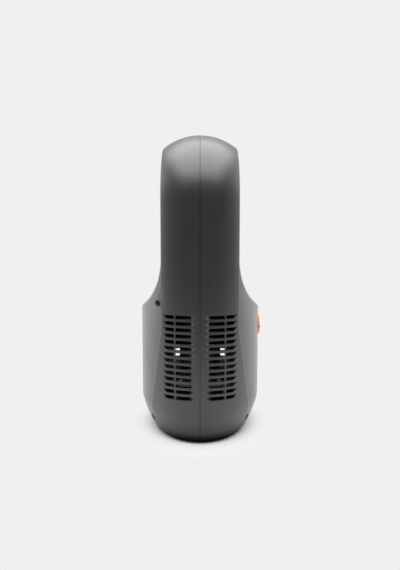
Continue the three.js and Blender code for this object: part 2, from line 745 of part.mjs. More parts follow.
function motorCradle() {
  const sleeve = bearingSeat + BEARING_WALL;
  const inner = POD_RADIUS - POD_WALL;
  const bend = POD_FILLET * (1 - Math.SQRT1_2);
  const body = turned([
    [0, PLATE_BOTTOM],
    [PLATE_RADIUS, PLATE_BOTTOM],
    [PLATE_RADIUS, PLATE_TOP],
    [POD_RADIUS + POD_FILLET, PLATE_TOP],
    [POD_RADIUS + bend, PLATE_TOP + bend],
    [POD_RADIUS, PLATE_TOP + POD_FILLET],
    [POD_RADIUS, POD_TOP],
    [inner, POD_TOP],
    [inner, stackBottom - GAP],
    [inner - STATOR_LEDGE, stackBottom - GAP],
    [inner - STATOR_LEDGE, PLATE_TOP],
    [sleeve, PLATE_TOP],
    [sleeve, lowerBearingBottom + BEARING_HEIGHT],
    [bearingSeat, lowerBearingBottom + BEARING_HEIGHT],
    [bearingSeat, lowerBearingBottom],
    [0, lowerBearingBottom],
  ], WIDE_SEGMENTS);
  const holes = fourCorners(POST).map((at) => rod("z", SCREW_HOLE, 0, POD_TOP, at));
  const notch = box(
    [PLATE_RADIUS - NOTCH, PLATE_RADIUS + PAST],
    [-NOTCH / 2, NOTCH / 2],
    [PLATE_BOTTOM - PAST, PLATE_TOP + PAST],
  );
  return cut(body, ...holes, notch);
}

function podCap() {
  const top = capBottom + CAP_HEIGHT;
  const sleeve = bearingSeat + BEARING_WALL;
  const seat = upperBearingBottom + BEARING_HEIGHT + RUNNING;
  const bore = SHAFT_RADIUS + CAP_BORE;
  const round = quarter(CAP_STEPS).map(([along, up]) => [
    sleeve + (POD_RADIUS - sleeve) * along,
    capBottom + CAP_HEIGHT * up,
  ]);
  return turned([
    ...round,
    [bore, top],
    [bore, seat],
    [bearingSeat, seat],
    [bearingSeat, upperBearingBottom],
    [sleeve, upperBearingBottom],
    [sleeve, seat],
    [POD_RADIUS - 3 * POD_WALL, upperBearingBottom + BEARING_HEIGHT / 2],
    [POD_RADIUS - POD_WALL, capBottom],
  ]);
}

function motorShaft() {
  const top = nutBottom + NUT_HEIGHT;
  return rod("z", SHAFT_RADIUS, lowerBearingBottom + GAP, top, [0, 0], TURNED_SEGMENTS);
}

const shaftBore = SHAFT_RADIUS + RUNNING;
const bearing = (bottom) => ring(shaftBore, BEARING_RADIUS, bottom, bottom + BEARING_HEIGHT);

// ---- Impeller, duct and diffuser --------------------------------------------------------------

const hubTop = IMPELLER_BOTTOM + IMPELLER_HEIGHT;
const nutBottom = IMPELLER_BOTTOM + HUB_SLEEVE.top + GAP;

// A curved blade between two radii that winds upwards round the axis.
function blade(inner, outer, [bottom, top], start, wrap) {
  const place = (u, v, side) => {
    const radius = inner(u) + (outer - inner(u)) * v;
    const angle = start + wrap * u * u + (side * BLADE_THICKNESS) / 2 / radius;
    const z = bottom + (top - bottom) * u;
    return new THREE.Vector3(radius * Math.cos(angle), radius * Math.sin(angle), z);
  };
  return solid(sheet(place, 4, 1));
}

function impeller() {
  const radiusAt = (share) => HUB_BOTTOM_RADIUS + (HUB_TOP_RADIUS - HUB_BOTTOM_RADIUS) * share;
  const insideAt = (height) => radiusAt(height / IMPELLER_HEIGHT) - HUB_WALL;
  const webTop = HUB_WEB + HUB_WALL;
  const profile = [
    [shaftBore, HUB_SLEEVE.bottom],
    [HUB_SLEEVE_RADIUS, HUB_SLEEVE.bottom],
    [HUB_SLEEVE_RADIUS, HUB_WEB],
    [insideAt(HUB_WEB), HUB_WEB],
    [insideAt(0), 0],
    [radiusAt(0), 0],
    [radiusAt(1), IMPELLER_HEIGHT],
    [insideAt(IMPELLER_HEIGHT), IMPELLER_HEIGHT],
    [insideAt(webTop), webTop],
    [HUB_SLEEVE_RADIUS, webTop],
    [HUB_SLEEVE_RADIUS, HUB_SLEEVE.top],
    [shaftBore, HUB_SLEEVE.top],
  ];
  const hub = turned(profile.map(([r, z]) => [r, z + IMPELLER_BOTTOM]));
  const tip = DUCT_RADIUS - TIP_CLEARANCE;
  const blades = [];
  for (let i = 0; i < BLADE_COUNT; i++) {
    const start = (2 * Math.PI * i) / BLADE_COUNT;
    const root = (u) => radiusAt(u) - HUB_WALL / 2;
    const span = [IMPELLER_BOTTOM + BLADE_INSET, hubTop - BLADE_INSET];
    blades.push(blade(root, tip, span, start, BLADE_WRAP));
  }
  return fuse(hub, ...blades);
}

function impellerDuct() {
  const outer = DUCT_RADIUS + DUCT_WALL;
  const bell = (inset) =>
    quarter(BELL_STEPS).map(([up, along]) => [
      DUCT_RADIUS + BELL.width - (BELL.width - inset) * along,
      DUCT_BOTTOM + BELL.height - (BELL.height - inset) * up,
    ]);
  const wall = turned([
    ...bell(0),
    [DUCT_RADIUS, DUCT_TOP],
    [outer, DUCT_TOP],
    ...bell(DUCT_WALL).reverse(),
  ], WIDE_SEGMENTS);
  const top = DUCT_PLATE_BOTTOM + DUCT_PLATE;
  const inset = WALL + GAP;
  const flange = common(plate(top, inset, DUCT_PLATE_BOTTOM, top), sideProfile(inset));
  const bore = (DUCT_RADIUS + outer) / 2;
  return fuse(wall, cut(flange, rod("z", bore, 0, HEIGHT, [0, 0], WIDE_SEGMENTS)));
}

function ductGasket() {
  const bottom = DUCT_PLATE_BOTTOM + DUCT_PLATE + GAP;
  const top = bottom + GASKET.thickness;
  const outline = common(plate(top, WALL + GAP, bottom, top), sideProfile(WALL + GAP));
  const inset = WALL + GAP + GASKET.width;
  const hole = common(plate(top, inset, bottom - PAST, top + PAST), sideProfile(inset));
  return cut(outline, hole);
}

function diffuser() {
  const bottom = hubTop + DIFFUSER_GAP;
  const outer = DUCT_RADIUS - GAP;
  const inner = outer - DUCT_WALL;
  const flangeBottom = DUCT_TOP + GAP;
  const flangeTop = flangeBottom + DUCT_WALL;
  const rim = turned([
    [inner, bottom],
    [outer, bottom],
    [outer, flangeBottom],
    [outer + DUCT_WALL, flangeBottom],
    [outer + DUCT_WALL, flangeTop],
    [inner, flangeTop],
  ], WIDE_SEGMENTS);
  const domeHeight = flangeTop - bottom;
  const domeCurve = (inset) =>
    quarter(DOME_STEPS).map(([along, up]) => [
      (HUB_TOP_RADIUS - inset) * along,
      bottom + (domeHeight - inset) * up,
    ]);
  const dome = turned([...domeCurve(0), ...domeCurve(HUB_WALL).reverse()]);
  const vanes = [];
  for (let i = 0; i < VANE_COUNT; i++) {
    const start = (2 * Math.PI * i) / VANE_COUNT;
    const root = (u) => HUB_TOP_RADIUS * Math.sqrt(1 - (u / 2) ** 2) - HUB_WALL / 2;
    const span = [bottom, bottom + domeHeight / 2];
    vanes.push(blade(root, inner + DUCT_WALL / 2, span, start, VANE_WRAP));
  }
  return fuse(rim, dome, ...vanes);
}

function hubNut() {
  const geometry = new THREE.CylinderGeometry(NUT_RADIUS, NUT_RADIUS, NUT_HEIGHT, 6);
  geometry.rotateX(Math.PI / 2).translate(0, 0, nutBottom + NUT_HEIGHT / 2);
  return cut(solid(geometry), rod("z", shaftBore, 0, HEIGHT, [0, 0], TURNED_SEGMENTS));
}

// ---- Controls -------------------------------------------------------------------------------

const boardBack = BASE_HALF_DEPTH - BOARD.setback;
const boardFront = boardBack + BOARD.thickness;
const boardPostPlaces = [-1, 1].flatMap((face) =>
  [BOARD.bottom + BOARD_POST.inset, BOARD.top - BOARD_POST.inset].map((z) => [
    face * (BOARD.halfWidth - BOARD_POST.inset),
    z,
  ]),
);
const dialBack = BASE_HALF_DEPTH - DIAL.sink + GAP;
const dialFace = BASE_HALF_DEPTH + DIAL.proud;
const spindleFront = dialFace - DIAL.bore;
const encoderBack = boardFront + GAP;

function controlBoard() {
  const body = box(
    [boardBack, boardFront],
    [-BOARD.halfWidth, BOARD.halfWidth],
    [BOARD.bottom, BOARD.top],
  );
  const holes = boardPostPlaces.map((at) => rod("x", SCREW_HOLE, 0, BEYOND, at));
  return cut(body, ...holes);
}

function encoderBody() {
  const half = ENCODER.size / 2;
  const depth = [encoderBack, encoderBack + ENCODER.depth];
  const body = box(depth, [-half, half], [DIAL.z - half, DIAL.z + half]);
  const bore = SPINDLE_RADIUS + ENCODER.clearance;
  return cut(body, rod("x", bore, encoderBack + ENCODER.floor, BEYOND, [0, DIAL.z]));
}

function encoderSpindle() {
  const start = encoderBack + ENCODER.floor + GAP;
  return rod("x", SPINDLE_RADIUS, start, spindleFront - GAP, [0, DIAL.z]);
}

// The mark's place on the dial, which runs in from the edge that faces the left side, turned a
// little down: grown by a clearance, and let out past the dial's edge and past its face.
function markBox(clearance, pastEdge, pastFace) {
  const geometry = boxGeometry(
    [dialFace - MARK.depth - clearance, dialFace + pastFace],
    [-DIAL.radius - pastEdge, MARK.length - DIAL.radius + clearance],
    [-MARK.width / 2 - clearance, MARK.width / 2 + clearance],
  );
  return solid(geometry.rotateX(MARK.angle).translate(0, 0, DIAL.z));
}

const dialMark = () => markBox(0, -GAP, -GAP / 2);

function speedDial() {
  const depth = dialFace - dialBack;
  const outline = [
    [0, 0],
    [DIAL.radius, 0],
    [DIAL.radius, depth - DIAL.bevel],
    [DIAL.radius - DIAL.bevel, depth],
    [0, depth],
  ];
  const points = outline.map(([r, z]) => new THREE.Vector2(r, z));
  const geometry = new THREE.LatheGeometry(points, WIDE_SEGMENTS);
  const body = solid(geometry.rotateZ(-Math.PI / 2).translate(dialBack, 0, DIAL.z));
  const bore = rod("x", SPINDLE_RADIUS + RUNNING, 0, spindleFront, [0, DIAL.z]);
  return cut(body, bore, markBox(MARK.clearance, PAST, PAST));
}

function powerButton() {
  const inside = BASE_HALF_DEPTH - WALL - GAP;
  const back = switchFront + GAP + BUTTON.travel;
  const at = [0, BUTTON.z];
  return fuse(
    rod("x", BUTTON.radius, back, BASE_HALF_DEPTH + BUTTON.proud, at, TURNED_SEGMENTS),
    rod("x", BUTTON.radius + BUTTON.flange, inside - BUTTON.flangeHeight, inside, at),
  );
}

const switchTop = boardFront + GAP + SWITCH.depth;
const switchFront = switchTop + SWITCH.plungerHeight;

function tactSwitch() {
  const half = SWITCH.size / 2;
  const depth = [boardFront + GAP, switchTop];
  const body = box(depth, [-half, half], [BUTTON.z - half, BUTTON.z + half]);
  return fuse(body, rod("x", SWITCH.plungerRadius, switchTop - PAST, switchFront, [0, BUTTON.z]));
}

// ---- Charging inlet and leads -----------------------------------------------------------------

// Outer surface of the back at the height of the inlet.
const rearSurface = -BASE_HALF_DEPTH * drawnIn(INLET.z).x;

function chargeBoard() {
  return box(
    [chargerEnd - CHARGER.length, chargerEnd],
    [-CHARGER.halfWidth, CHARGER.halfWidth],
    [chargerBottom, chargerBottom + CHARGER.thickness],
  );
}

function inletSocket() {
  const mouth = rearSurface + INLET_LIP;
  const halfWidth = INLET.width / 2;
  const halfHeight = INLET.height / 2;
  const { wall, back } = INLET_SHELL;
  const body = box(
    [mouth, mouth + INLET.length],
    [-halfWidth, halfWidth],
    [INLET.z - halfHeight, INLET.z + halfHeight],
  );
  const hollow = box(
    [mouth - PAST, mouth + INLET.length - back],
    [-halfWidth + wall, halfWidth - wall],
    [INLET.z - halfHeight + wall, INLET.z + halfHeight - wall],
  );
  const tongue = box(
    [mouth + TONGUE.inset, mouth + INLET.length - back / 2],
    [-TONGUE.width / 2, TONGUE.width / 2],
    [INLET.z - TONGUE.thickness / 2, INLET.z + TONGUE.thickness / 2],
  );
  return fuse(cut(body, hollow), tongue);
}

// A round lead through the given points.
function lead(points) {
  const path = new THREE.CatmullRomCurve3(points.map((p) => new THREE.Vector3(...p)));
  const section = new THREE.Shape();
  for (let i = 0; i < LEAD_SEGMENTS; i++) {
    const a = (2 * Math.PI * i) / LEAD_SEGMENTS;
    const [x, y] = [LEAD_RADIUS * Math.cos(a), LEAD_RADIUS * Math.sin(a)];
    if (i === 0) section.moveTo(x, y);
    else section.lineTo(x, y);
  }
  return solid(
    new THREE.ExtrudeGeometry(section, {
      steps: LEAD_STEPS,
      bevelEnabled: false,
      extrudePath: path,
    }),
  );
}

function motorLead() {
  const start = POD_RADIUS + GAP;
  const end = boardBack - GAP - LEAD_RADIUS;
  const z = PLATE_TOP + POD_FILLET + LEAD_RADIUS;
  return lead([
    [start, 0, z],
    [start + MOTOR_LEAD.stub, 0, z],
    [(start + MOTOR_LEAD.stub + end) / 2, 0, z + MOTOR_LEAD.lift],
    [end - LEAD_RADIUS, 0, BOARD.bottom],
    [end, 0, BOARD.bottom + MOTOR_LEAD.overlap],
  ]);
}

function batteryLead() {
  const start = lastCell + CELL_RADIUS + GAP;
  const notch = PLATE_RADIUS - NOTCH / 2;
  const board = boardBack + BOARD.thickness / 2;
  return lead([
    [start, 0, cellAxis],
    [start + BATTERY_LEAD.stub, 0, cellAxis + LEAD_RADIUS],
    [notch - BATTERY_LEAD.bend, 0, (cellAxis + PLATE_BOTTOM) / 2],
    [notch, 0, PLATE_BOTTOM],
    [notch, 0, PLATE_TOP],
    [(notch + board) / 2, 0, BOARD.bottom - BATTERY_LEAD.drop],
    [board, 0, BOARD.bottom - GAP],
  ]);
}

// ---- Screws -----------------------------------------------------------------------------------

// A pan-head screw along an axis, whose head looks to the given side of its seat.
function screw(axis, seat, side, length, at, headHeight = HEAD_HEIGHT) {
  const head = seat + side * GAP;
  const shankTop = head + (side * headHeight) / 2;
  return fuse(
    rod(axis, HEAD_RADIUS, head, head + side * headHeight, at),
    rod(axis, SHANK_RADIUS, shankTop, head - side * length, at, SHANK_SEGMENTS),
  );
}

// ---- Assembly ---------------------------------------------------------------------------------

const finish = (color, roughness, metalness = 0) =>
  new THREE.MeshStandardMaterial({ color, roughness, metalness, flatShading: true });

const casingGrey = finish(0x3d3e40, 0.55);
const podGrey = finish(0x4a4b4c, 0.6);
const innerBlack = finish(0x1c1c1d, 0.6);
const orange = finish(0xd9682a, 0.45);
const buttonGrey = finish(0x9b948a, 0.5);
const rubber = finish(0x18181a, 0.9);
const steel = finish(0x9a9ca0, 0.35, 1);
const copper = finish(0x9c5a2c, 0.5, 0.6);
const boardGreen = finish(0x1f4a33, 0.6);
const cellBlue = finish(0x2c4d7a, 0.5);
const foam = finish(0x2a2a2c, 0.95);

const fan = new THREE.Group();

function add(name, shape, material) {
  const mesh = new THREE.Mesh(geometryOf(shape), material);
  mesh.name = name;
  mesh.geometry.computeVertexNormals();
  fan.add(mesh);
}

const wholeCasing = casing();
add("front_shell", frontShell(wholeCasing), casingGrey);
add("rear_shell", rearShell(wholeCasing), casingGrey);
add("nozzle_ring", nozzleRing(), casingGrey);
add("base_plate", basePlate(), innerBlack);
fourCorners(FOOT).forEach((at, i) => add(`foot_${i + 1}`, foot(at), rubber));
add("chassis", chassis(), innerBlack);
for (let i = 0; i < CELL_COUNT; i++) add(`battery_cell_${i + 1}`, batteryCell(i), cellBlue);

add("motor_cradle", motorCradle(), podGrey);
add("pod_cap", podCap(), podGrey);
const statorOuter = POD_RADIUS - POD_WALL - GAP;
const statorTop = stackBottom + STATOR_HEIGHT;
add("motor_stator", ring(STATOR_BORE, statorOuter, stackBottom, statorTop), copper);
const rotorRadius = STATOR_BORE - AIR_GAP;
add("rotor_core", ring(shaftBore, rotorRadius, stackBottom, statorTop), steel);
add("motor_shaft", motorShaft(), steel);
add("lower_bearing", bearing(lowerBearingBottom + RUNNING), steel);
add("upper_bearing", bearing(upperBearingBottom), steel);

add("impeller", impeller(), innerBlack);
add("hub_nut", hubNut(), steel);
add("impeller_duct", impellerDuct(), innerBlack);
add("duct_gasket", ductGasket(), foam);
add("diffuser", diffuser(), innerBlack);

add("control_board", controlBoard(), boardGreen);
add("encoder_body", encoderBody(), innerBlack);
add("encoder_spindle", encoderSpindle(), steel);
add("speed_dial", speedDial(), orange);
add("dial_mark", dialMark(), innerBlack);
add("power_button", powerButton(), buttonGrey);
add("tact_switch", tactSwitch(), innerBlack);
add("charge_board", chargeBoard(), boardGreen);
add("inlet_socket", inletSocket(), steel);
add("motor_lead", motorLead(), rubber);
add("battery_lead", batteryLead(), rubber);

[-1, 1].forEach((face, i) => {
  const at = [face * upperWellY, UPPER_WELL.z];
  const length = upperWellFloor + UPPER_SCREW_BITE;
  add(`upper_screw_${i + 1}`, screw("x", -upperWellFloor, -1, length, at), steel);
});
lowerScrewPlaces.forEach(([side, face], i) => {
  const at = [face * LOWER_WELL.y, LOWER_WELL.z];
  const length = LOWER_WELL.floor - LOWER_BOSS_END + LOWER_SCREW_BITE;
  add(`lower_screw_${i + 1}`, screw("x", side * LOWER_WELL.floor, side, length, at), steel);
});
fourCorners(POST).forEach((at, i) => {
  const length = PLATE_THICKNESS + POST_SCREW_BITE;
  add(`plate_screw_${i + 1}`, screw("z", PLATE_TOP, 1, length, at), steel);
  const low = BASE_PLATE / 2 + STANDOFF + POST_SCREW_BITE;
  const headHeight = headSeat - GAP - FOOT_PROUD / 2;
  add(`base_screw_${i + 1}`, screw("z", headSeat, -1, low, at, headHeight), steel);
});
[boardPostPlaces[0], boardPostPlaces[3]].forEach((at, i) => {
  const length = BOARD.thickness + BOARD_SCREW_BITE;
  add(`board_screw_${i + 1}`, screw("x", boardBack, -1, length, at), steel);
});

// The dial stands proud at the front only, so this puts the origin under the middle of the whole.
fan.position.x = -DIAL.proud / 2;

export default fan;
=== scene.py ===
import math

import bpy
import numpy as np
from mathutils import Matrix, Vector


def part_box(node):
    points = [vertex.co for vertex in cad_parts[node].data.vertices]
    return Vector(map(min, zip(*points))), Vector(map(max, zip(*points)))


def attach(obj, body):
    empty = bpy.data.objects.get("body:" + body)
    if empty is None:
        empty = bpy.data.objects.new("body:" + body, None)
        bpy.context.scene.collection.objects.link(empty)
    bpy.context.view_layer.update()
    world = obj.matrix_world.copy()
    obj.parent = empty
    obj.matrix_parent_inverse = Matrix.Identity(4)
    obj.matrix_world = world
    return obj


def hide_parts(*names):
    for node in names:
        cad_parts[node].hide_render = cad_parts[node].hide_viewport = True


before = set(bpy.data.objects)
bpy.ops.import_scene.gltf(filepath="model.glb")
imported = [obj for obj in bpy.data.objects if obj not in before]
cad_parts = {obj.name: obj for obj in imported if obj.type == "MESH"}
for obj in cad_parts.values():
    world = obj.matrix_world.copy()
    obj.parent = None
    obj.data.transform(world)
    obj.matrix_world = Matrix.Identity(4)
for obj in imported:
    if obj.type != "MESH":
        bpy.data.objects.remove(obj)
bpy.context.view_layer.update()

MM = 0.001
SEAM = (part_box("front_shell")[0].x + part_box("rear_shell")[1].x) / 2

# Casing
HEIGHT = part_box("front_shell")[1].z / MM
HALF_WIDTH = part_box("front_shell")[1].y / MM
BASE_HALF_DEPTH = (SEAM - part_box("rear_shell")[0].x) / MM
FOOT_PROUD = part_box("front_shell")[0].z / MM
CROWN_RADIUS = 65.6
HOOP_HALF_DEPTH = 41.0
WALL = 2.4
CREASE_SPREAD_FROM = 118.0
CREASE_SPREAD = 0.144
TOE_HEIGHT = 37.3
TOE_SHARE = 0.234
TOE_POWER = 1.472
LOW_EDGE_HEIGHT = 10.0
LOW_EDGE_DEPTH = 4.0
SCOOP_RADIUS = 68.0
SCOOP_TOP = 191.0
CROWN_CENTRE = HALF_WIDTH - CROWN_RADIUS
HOOP_CENTRE = HEIGHT - HALF_WIDTH
STRAIGHT_FROM = CREASE_SPREAD_FROM + 1.0

# Hole of the hoop and the ring inside it
HOLE_HALF_WIDTH = 55.8
HOLE_FLOOR = 172.0
HOLE_CORNER = 30.0
CORNER_Y = HOLE_HALF_WIDTH - HOLE_CORNER
CORNER_Z = HOLE_FLOOR + HOLE_CORNER
FRONT_LIP_BACK = 28.0
REAR_LIP_FRONT = 24.0
SLIT = 2.0
RING_WALL = 2.0
NOZZLE_RAMP = 15.0
NOZZLE_RAMP_POWER = 1.6
SKIRT_LENGTH = 6
NOSE_LENGTH = 6.0

# Soft edges of the mouldings
SEAM_ROUND = 0.4
EDGE_ROUND = 0.7
HOLE_ROUND = 1.5
RIDGE_ROUND = 1.6
RIDGE_FADE = 4.0
SLOT_ROUND = 0.2
INNER_ROUND = 0.5
LIP_ROUND = 0.5

# Intake slots
SLOT_ROWS = 14
SLOT_PITCH = 6.5
SLOT_TOP = 132.8
HALF_SLOT = 1.9
INNER_WINDOW = (9.5, 25.4)
OUTER_WINDOW = (27.1, 34.9)
INNER_TIP = 4.4
OUTER_TIP = 38.9
WEB_SINK = 0.3
VEE_DEPTH = 2.2
VEE_DROP = 0.35  # how far its deepest line lies under the slot's middle
RUN_OUT_DEPTH = 3.0
RUN_OUT_POWER = 0.8
RUN_OUT_LIFT = 1.2  # how far its tip lies over the slot's middle
RUN_OUT_TIP = 0.25  # height of its tip as a share of the slot's

# Screws, wells and bosses
HALF_GAP = 0.15
WELL_RADIUS = 3.4
WELL_BOSS = 4.6
SCREW_HOLE = 1.8
SHANK_RADIUS = 1.5
HEAD_RADIUS = 2.7
HEAD_HEIGHT = 2.0
SEAT_GAP = 0.3
WELL_INBOARD = 3.9  # from the crease to the middle of an upper well
UPPER_WELL_Y = CROWN_CENTRE + math.sqrt(CROWN_RADIUS**2 - HOOP_HALF_DEPTH**2) - WELL_INBOARD
UPPER_WELL_Z = 145.7
UPPER_FLOOR = 40.4
UPPER_HOLE_END = 15.0
LOWER_WELL_Y = 45.0
LOWER_WELL_Z = 18.0
LOWER_FLOOR = 44.0
LOWER_BOSS_END = 30.0
UPPER_BITE = 14.0  # how far an upper screw goes past the seam
LOWER_BITE = 12.0  # how far a lower screw goes past the end of its boss

# Controls
DIAL_Z = 114.4
DIAL_RADIUS = 12.2
DIAL_SINK = 2.5
DIAL_PROUD = 1.5
DIAL_CLEARANCE = 0.4
MARK_LENGTH = 4.4
MARK_WIDTH = 2.6
MARK_DEPTH = 1.2
MARK_GAP = 0.15
MARK_ANGLE = 0.14
SPINDLE_RADIUS = 3.0
BUTTON_Z = 87.0
BUTTON_RADIUS = 2.6
BUTTON_PROUD = 1.0
BUTTON_CLEARANCE = 0.3
BOARD_FRONT = BASE_HALF_DEPTH - 10.8
POST_Y = 18.0
POST_Z = 80.0
POST_RADIUS = 2.8
POST_HOLE_DEPTH = 4.2

# Charging inlet
INLET_Z = 24.2
INLET_WIDTH = 9.0
INLET_HEIGHT = 3.4
INLET_CLEARANCE = 0.25

# Underside
FOOT_POCKET = 6.3
HEAD_POCKET = 3.0
POCKET_DEPTH = 2.6
PLATE_SCREW_SEAT = 2.3
PLATE_HEAD_HEIGHT = 1.3

# Motor pod
BEARING_BORE = 9.55
POD_PLATE = 3.0
POD_RADIUS = 24.4
POD_NECK = 22.5
POD_INSIDE = 20.5
POD_SEAT = 16.5
POD_SEAT_RISE = 13.4
POD_FILLET = 5.0
SHAFT_HOLE = 3.5

# Edges that turn by more than this many degrees are shaded sharp
SHARP_EDGE = 40
SHARP_CUT = 30


# ---- Meshes --------------------------------------------------------------------------------

def piece(name, points, faces, body, material, painted_light=None):
    """A mesh in the frame from points in millimetres, smooth but for its sharp edges. Painted
    light, where
    it is given, is a value for each point: 1 for a painted highlight on edges and -1 for painted
    shade in gaps."""
    place = np.asarray(points, float) * MM
    place[:, 0] += SEAM
    mesh = bpy.data.meshes.new(name)
    mesh.from_pydata(place.tolist(), [], faces)
    mesh.validate()
    mesh.shade_smooth()
    mesh.set_sharp_from_angle(angle=math.radians(SHARP_EDGE))
    mesh.materials.append(material)
    if painted_light is not None:
        mesh.attributes.new("painted_light", "FLOAT", "POINT").data.foreach_set("value", painted_light)
    made = bpy.data.objects.new(name, mesh)
    bpy.context.scene.collection.objects.link(made)
    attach(made, body)
    return made


def even_shading(made):
    """Shades large faces as flat as they are beside narrow rounded edges."""
    weighted = made.modifiers.new("even_shading", "WEIGHTED_NORMAL")
    weighted.keep_sharp = True


def quads(index, wrap=False):
    """Faces of a grid of point numbers, outwards where column cross row points outwards."""
    if wrap:
        index = np.concatenate([index, index[:, :1]], axis=1)
    low, high = index[:-1], index[1:]
    cells = np.stack([low[:, :-1], low[:, 1:], high[:, 1:], high[:, :-1]], axis=-1)
    return cells.reshape(-1, 4)


def turned(profile, steps=96):
    """Points and faces of a profile of (radius, height) turned about the z axis: every ring is
    the profile's radius times cosine and sine. The profile runs with the solid on its left."""
    profile = np.asarray(profile, float)
    angle = np.arange(steps) * 2 * math.pi / steps
    radius, height = profile[:, :1], profile[:, 1:]
    rings = np.stack(
        [radius * np.cos(angle), radius * np.sin(angle), height + 0 * angle], axis=-1
    )
    points = rings.reshape(-1, 3)
    index = np.arange(len(points)).reshape(len(profile), steps)
    faces = quads(index, wrap=True).tolist()
    return points, faces, index


def closed(points, faces, index):
    """Fills the first and last ring of a turned form with a flat face each."""
    return points, faces + [index[0][::-1].tolist(), index[-1].tolist()]


def rounded(corners, radius, steps):
    """An open line whose corners are replaced by curves: each runs from one radius before the
    corner to one radius after it as a quadratic curve with the corner as its middle handle."""
    corners = np.asarray(corners, float)
    made = [corners[:1]]
    for last, here, following in zip(corners, corners[1:], corners[2:]):
        before, after = last - here, following - here
        reach = min(radius, 0.45 * np.linalg.norm(before), 0.45 * np.linalg.norm(after))
        start = here + before / np.linalg.norm(before) * reach
        end = here + after / np.linalg.norm(after) * reach
        s = np.linspace(0, 1, steps + 1)[:, None]
        made.append((1 - s) ** 2 * start + 2 * s * (1 - s) * here + s**2 * end)
    return np.concatenate([*made, corners[-1:]])


# ---- Form of the casing ----------------------------------------------------------------------

def drawn_in(z):
    """Shares by which the lower end is drawn in along x and y: one less a power of how far a
    point lies below the toe, and less a quarter ellipse at the rounded lower edge."""
    toe = np.clip(1 - z / TOE_HEIGHT, 0, 1) ** TOE_POWER
    below = np.clip(1 - (z - FOOT_PROUD) / LOW_EDGE_HEIGHT, 0, 1)
    edge = LOW_EDGE_DEPTH * (1 - np.sqrt(1 - below**2))
    return 1 - TOE_SHARE * toe - edge / BASE_HALF_DEPTH, 1 - edge / HALF_WIDTH


def crease(z, inset):
    """Where the rounded side meets the flank, before the lower end is drawn in: its x spreads
    steadily towards the floor and its y lies on the circle of the rounded side."""
    spread = CREASE_SPREAD * np.clip(CREASE_SPREAD_FROM - z, 0, None)
    x = HOOP_HALF_DEPTH - inset + spread
    return x, CROWN_CENTRE + np.sqrt((CROWN_RADIUS - inset) ** 2 - x**2)


def side_y(x, z, inset):
    """Half width of the rounded side: a circle in plan, stretched by the two shares."""
    share_x, share_y = drawn_in(z)
    return share_y * (CROWN_CENTRE + np.sqrt((CROWN_RADIUS - inset) ** 2 - (x / share_x) ** 2))


def side_x(y, z, inset):
    """Depth of the rounded side at a place given by y and z, the same circle turned round."""
    share_x, share_y = drawn_in(z)
    rise = np.clip(np.abs(y) / share_y - CROWN_CENTRE, 0, None)
    return share_x * np.sqrt(np.clip((CROWN_RADIUS - inset) ** 2 - rise**2, 0, None))


def flank_x(y, z, inset):
    """Depth of the flank: the circle in plan through both creases and the front tip."""
    share_x, share_y = drawn_in(z)
    crease_x, crease_y = crease(z, inset)
    depth = BASE_HALF_DEPTH - inset - crease_x
    radius = (depth**2 + crease_y**2) / (2 * depth)
    reach = np.sqrt(np.clip(radius**2 - (y / share_y) ** 2, 0, None))
    return share_x * (BASE_HALF_DEPTH - inset - radius + reach)


def scoop_x(z, inset):
    """Depth of the scoop: a circle seen from the side, tangent to the face of the hoop."""
    radius = SCOOP_RADIUS + inset
    drop = np.clip(SCOOP_TOP - z, 0, radius)
    return HOOP_HALF_DEPTH + SCOOP_RADIUS - np.sqrt(radius**2 - drop**2)


def face_x(y, z, inset):
    """Depth of the front face: the lesser of flank and scoop, blended over RIDGE_ROUND where
    they meet. The blend fades out towards the crease."""
    flank, scoop = flank_x(y, z, inset), scoop_x(z, inset)
    edge = crease(z, inset)[1] * drawn_in(z)[1]
    width = RIDGE_ROUND * np.clip((edge - np.abs(y)) / RIDGE_FADE, 0, 1) + 1e-6
    near = np.clip(1 - np.abs(flank - scoop) / width, 0, 1)
    return np.minimum(flank, scoop) - near**2 * width / 4


def wall_x(y, z, inset):
    """Depth of the casing at a place given by y and z: the face between the creases, the rounded
    side beyond them."""
    edge = crease(z, inset)[1] * drawn_in(z)[1]
    return np.where(np.abs(y) < edge, face_x(y, z, inset), side_x(y, z, inset))


def ridge_z(y, inset):
    """Height at which the scoop meets the flank above the straight part of the base."""
    radius = SCOOP_RADIUS + inset
    across = HOOP_HALF_DEPTH + SCOOP_RADIUS - flank_x(y, STRAIGHT_FROM, inset)
    return SCOOP_TOP - np.sqrt(np.clip(radius**2 - across**2, 0, None))


def hole_floor(y, offset):
    """Height of the lower edge of the hole, moved outwards: a line between two circles."""
    past = np.clip(np.abs(y) - CORNER_Y, 0, HOLE_CORNER + offset)
    return CORNER_Z - np.sqrt((HOLE_CORNER + offset) ** 2 - past**2)


def hole_normal(y, z):
    """Unit vectors in y and z that point from the hole into the hoop."""
    side = np.sign(y)
    past = np.clip(np.abs(y) - CORNER_Y, 0, None)
    ny = np.where(z >= HOOP_CENTRE, y, np.where(z >= CORNER_Z, side, side * past))
    nz = np.where(z >= HOOP_CENTRE, z - HOOP_CENTRE, np.where(z >= CORNER_Z, 0, z - CORNER_Z))
    size = np.hypot(ny, nz)
    return ny / size, nz / size


def quarter_drop(distance, radius):
    """Depth of a quarter-round edge at a distance from it."""
    inside = np.clip(radius - distance, 0, radius)
    return radius - np.sqrt(radius**2 - inside**2)


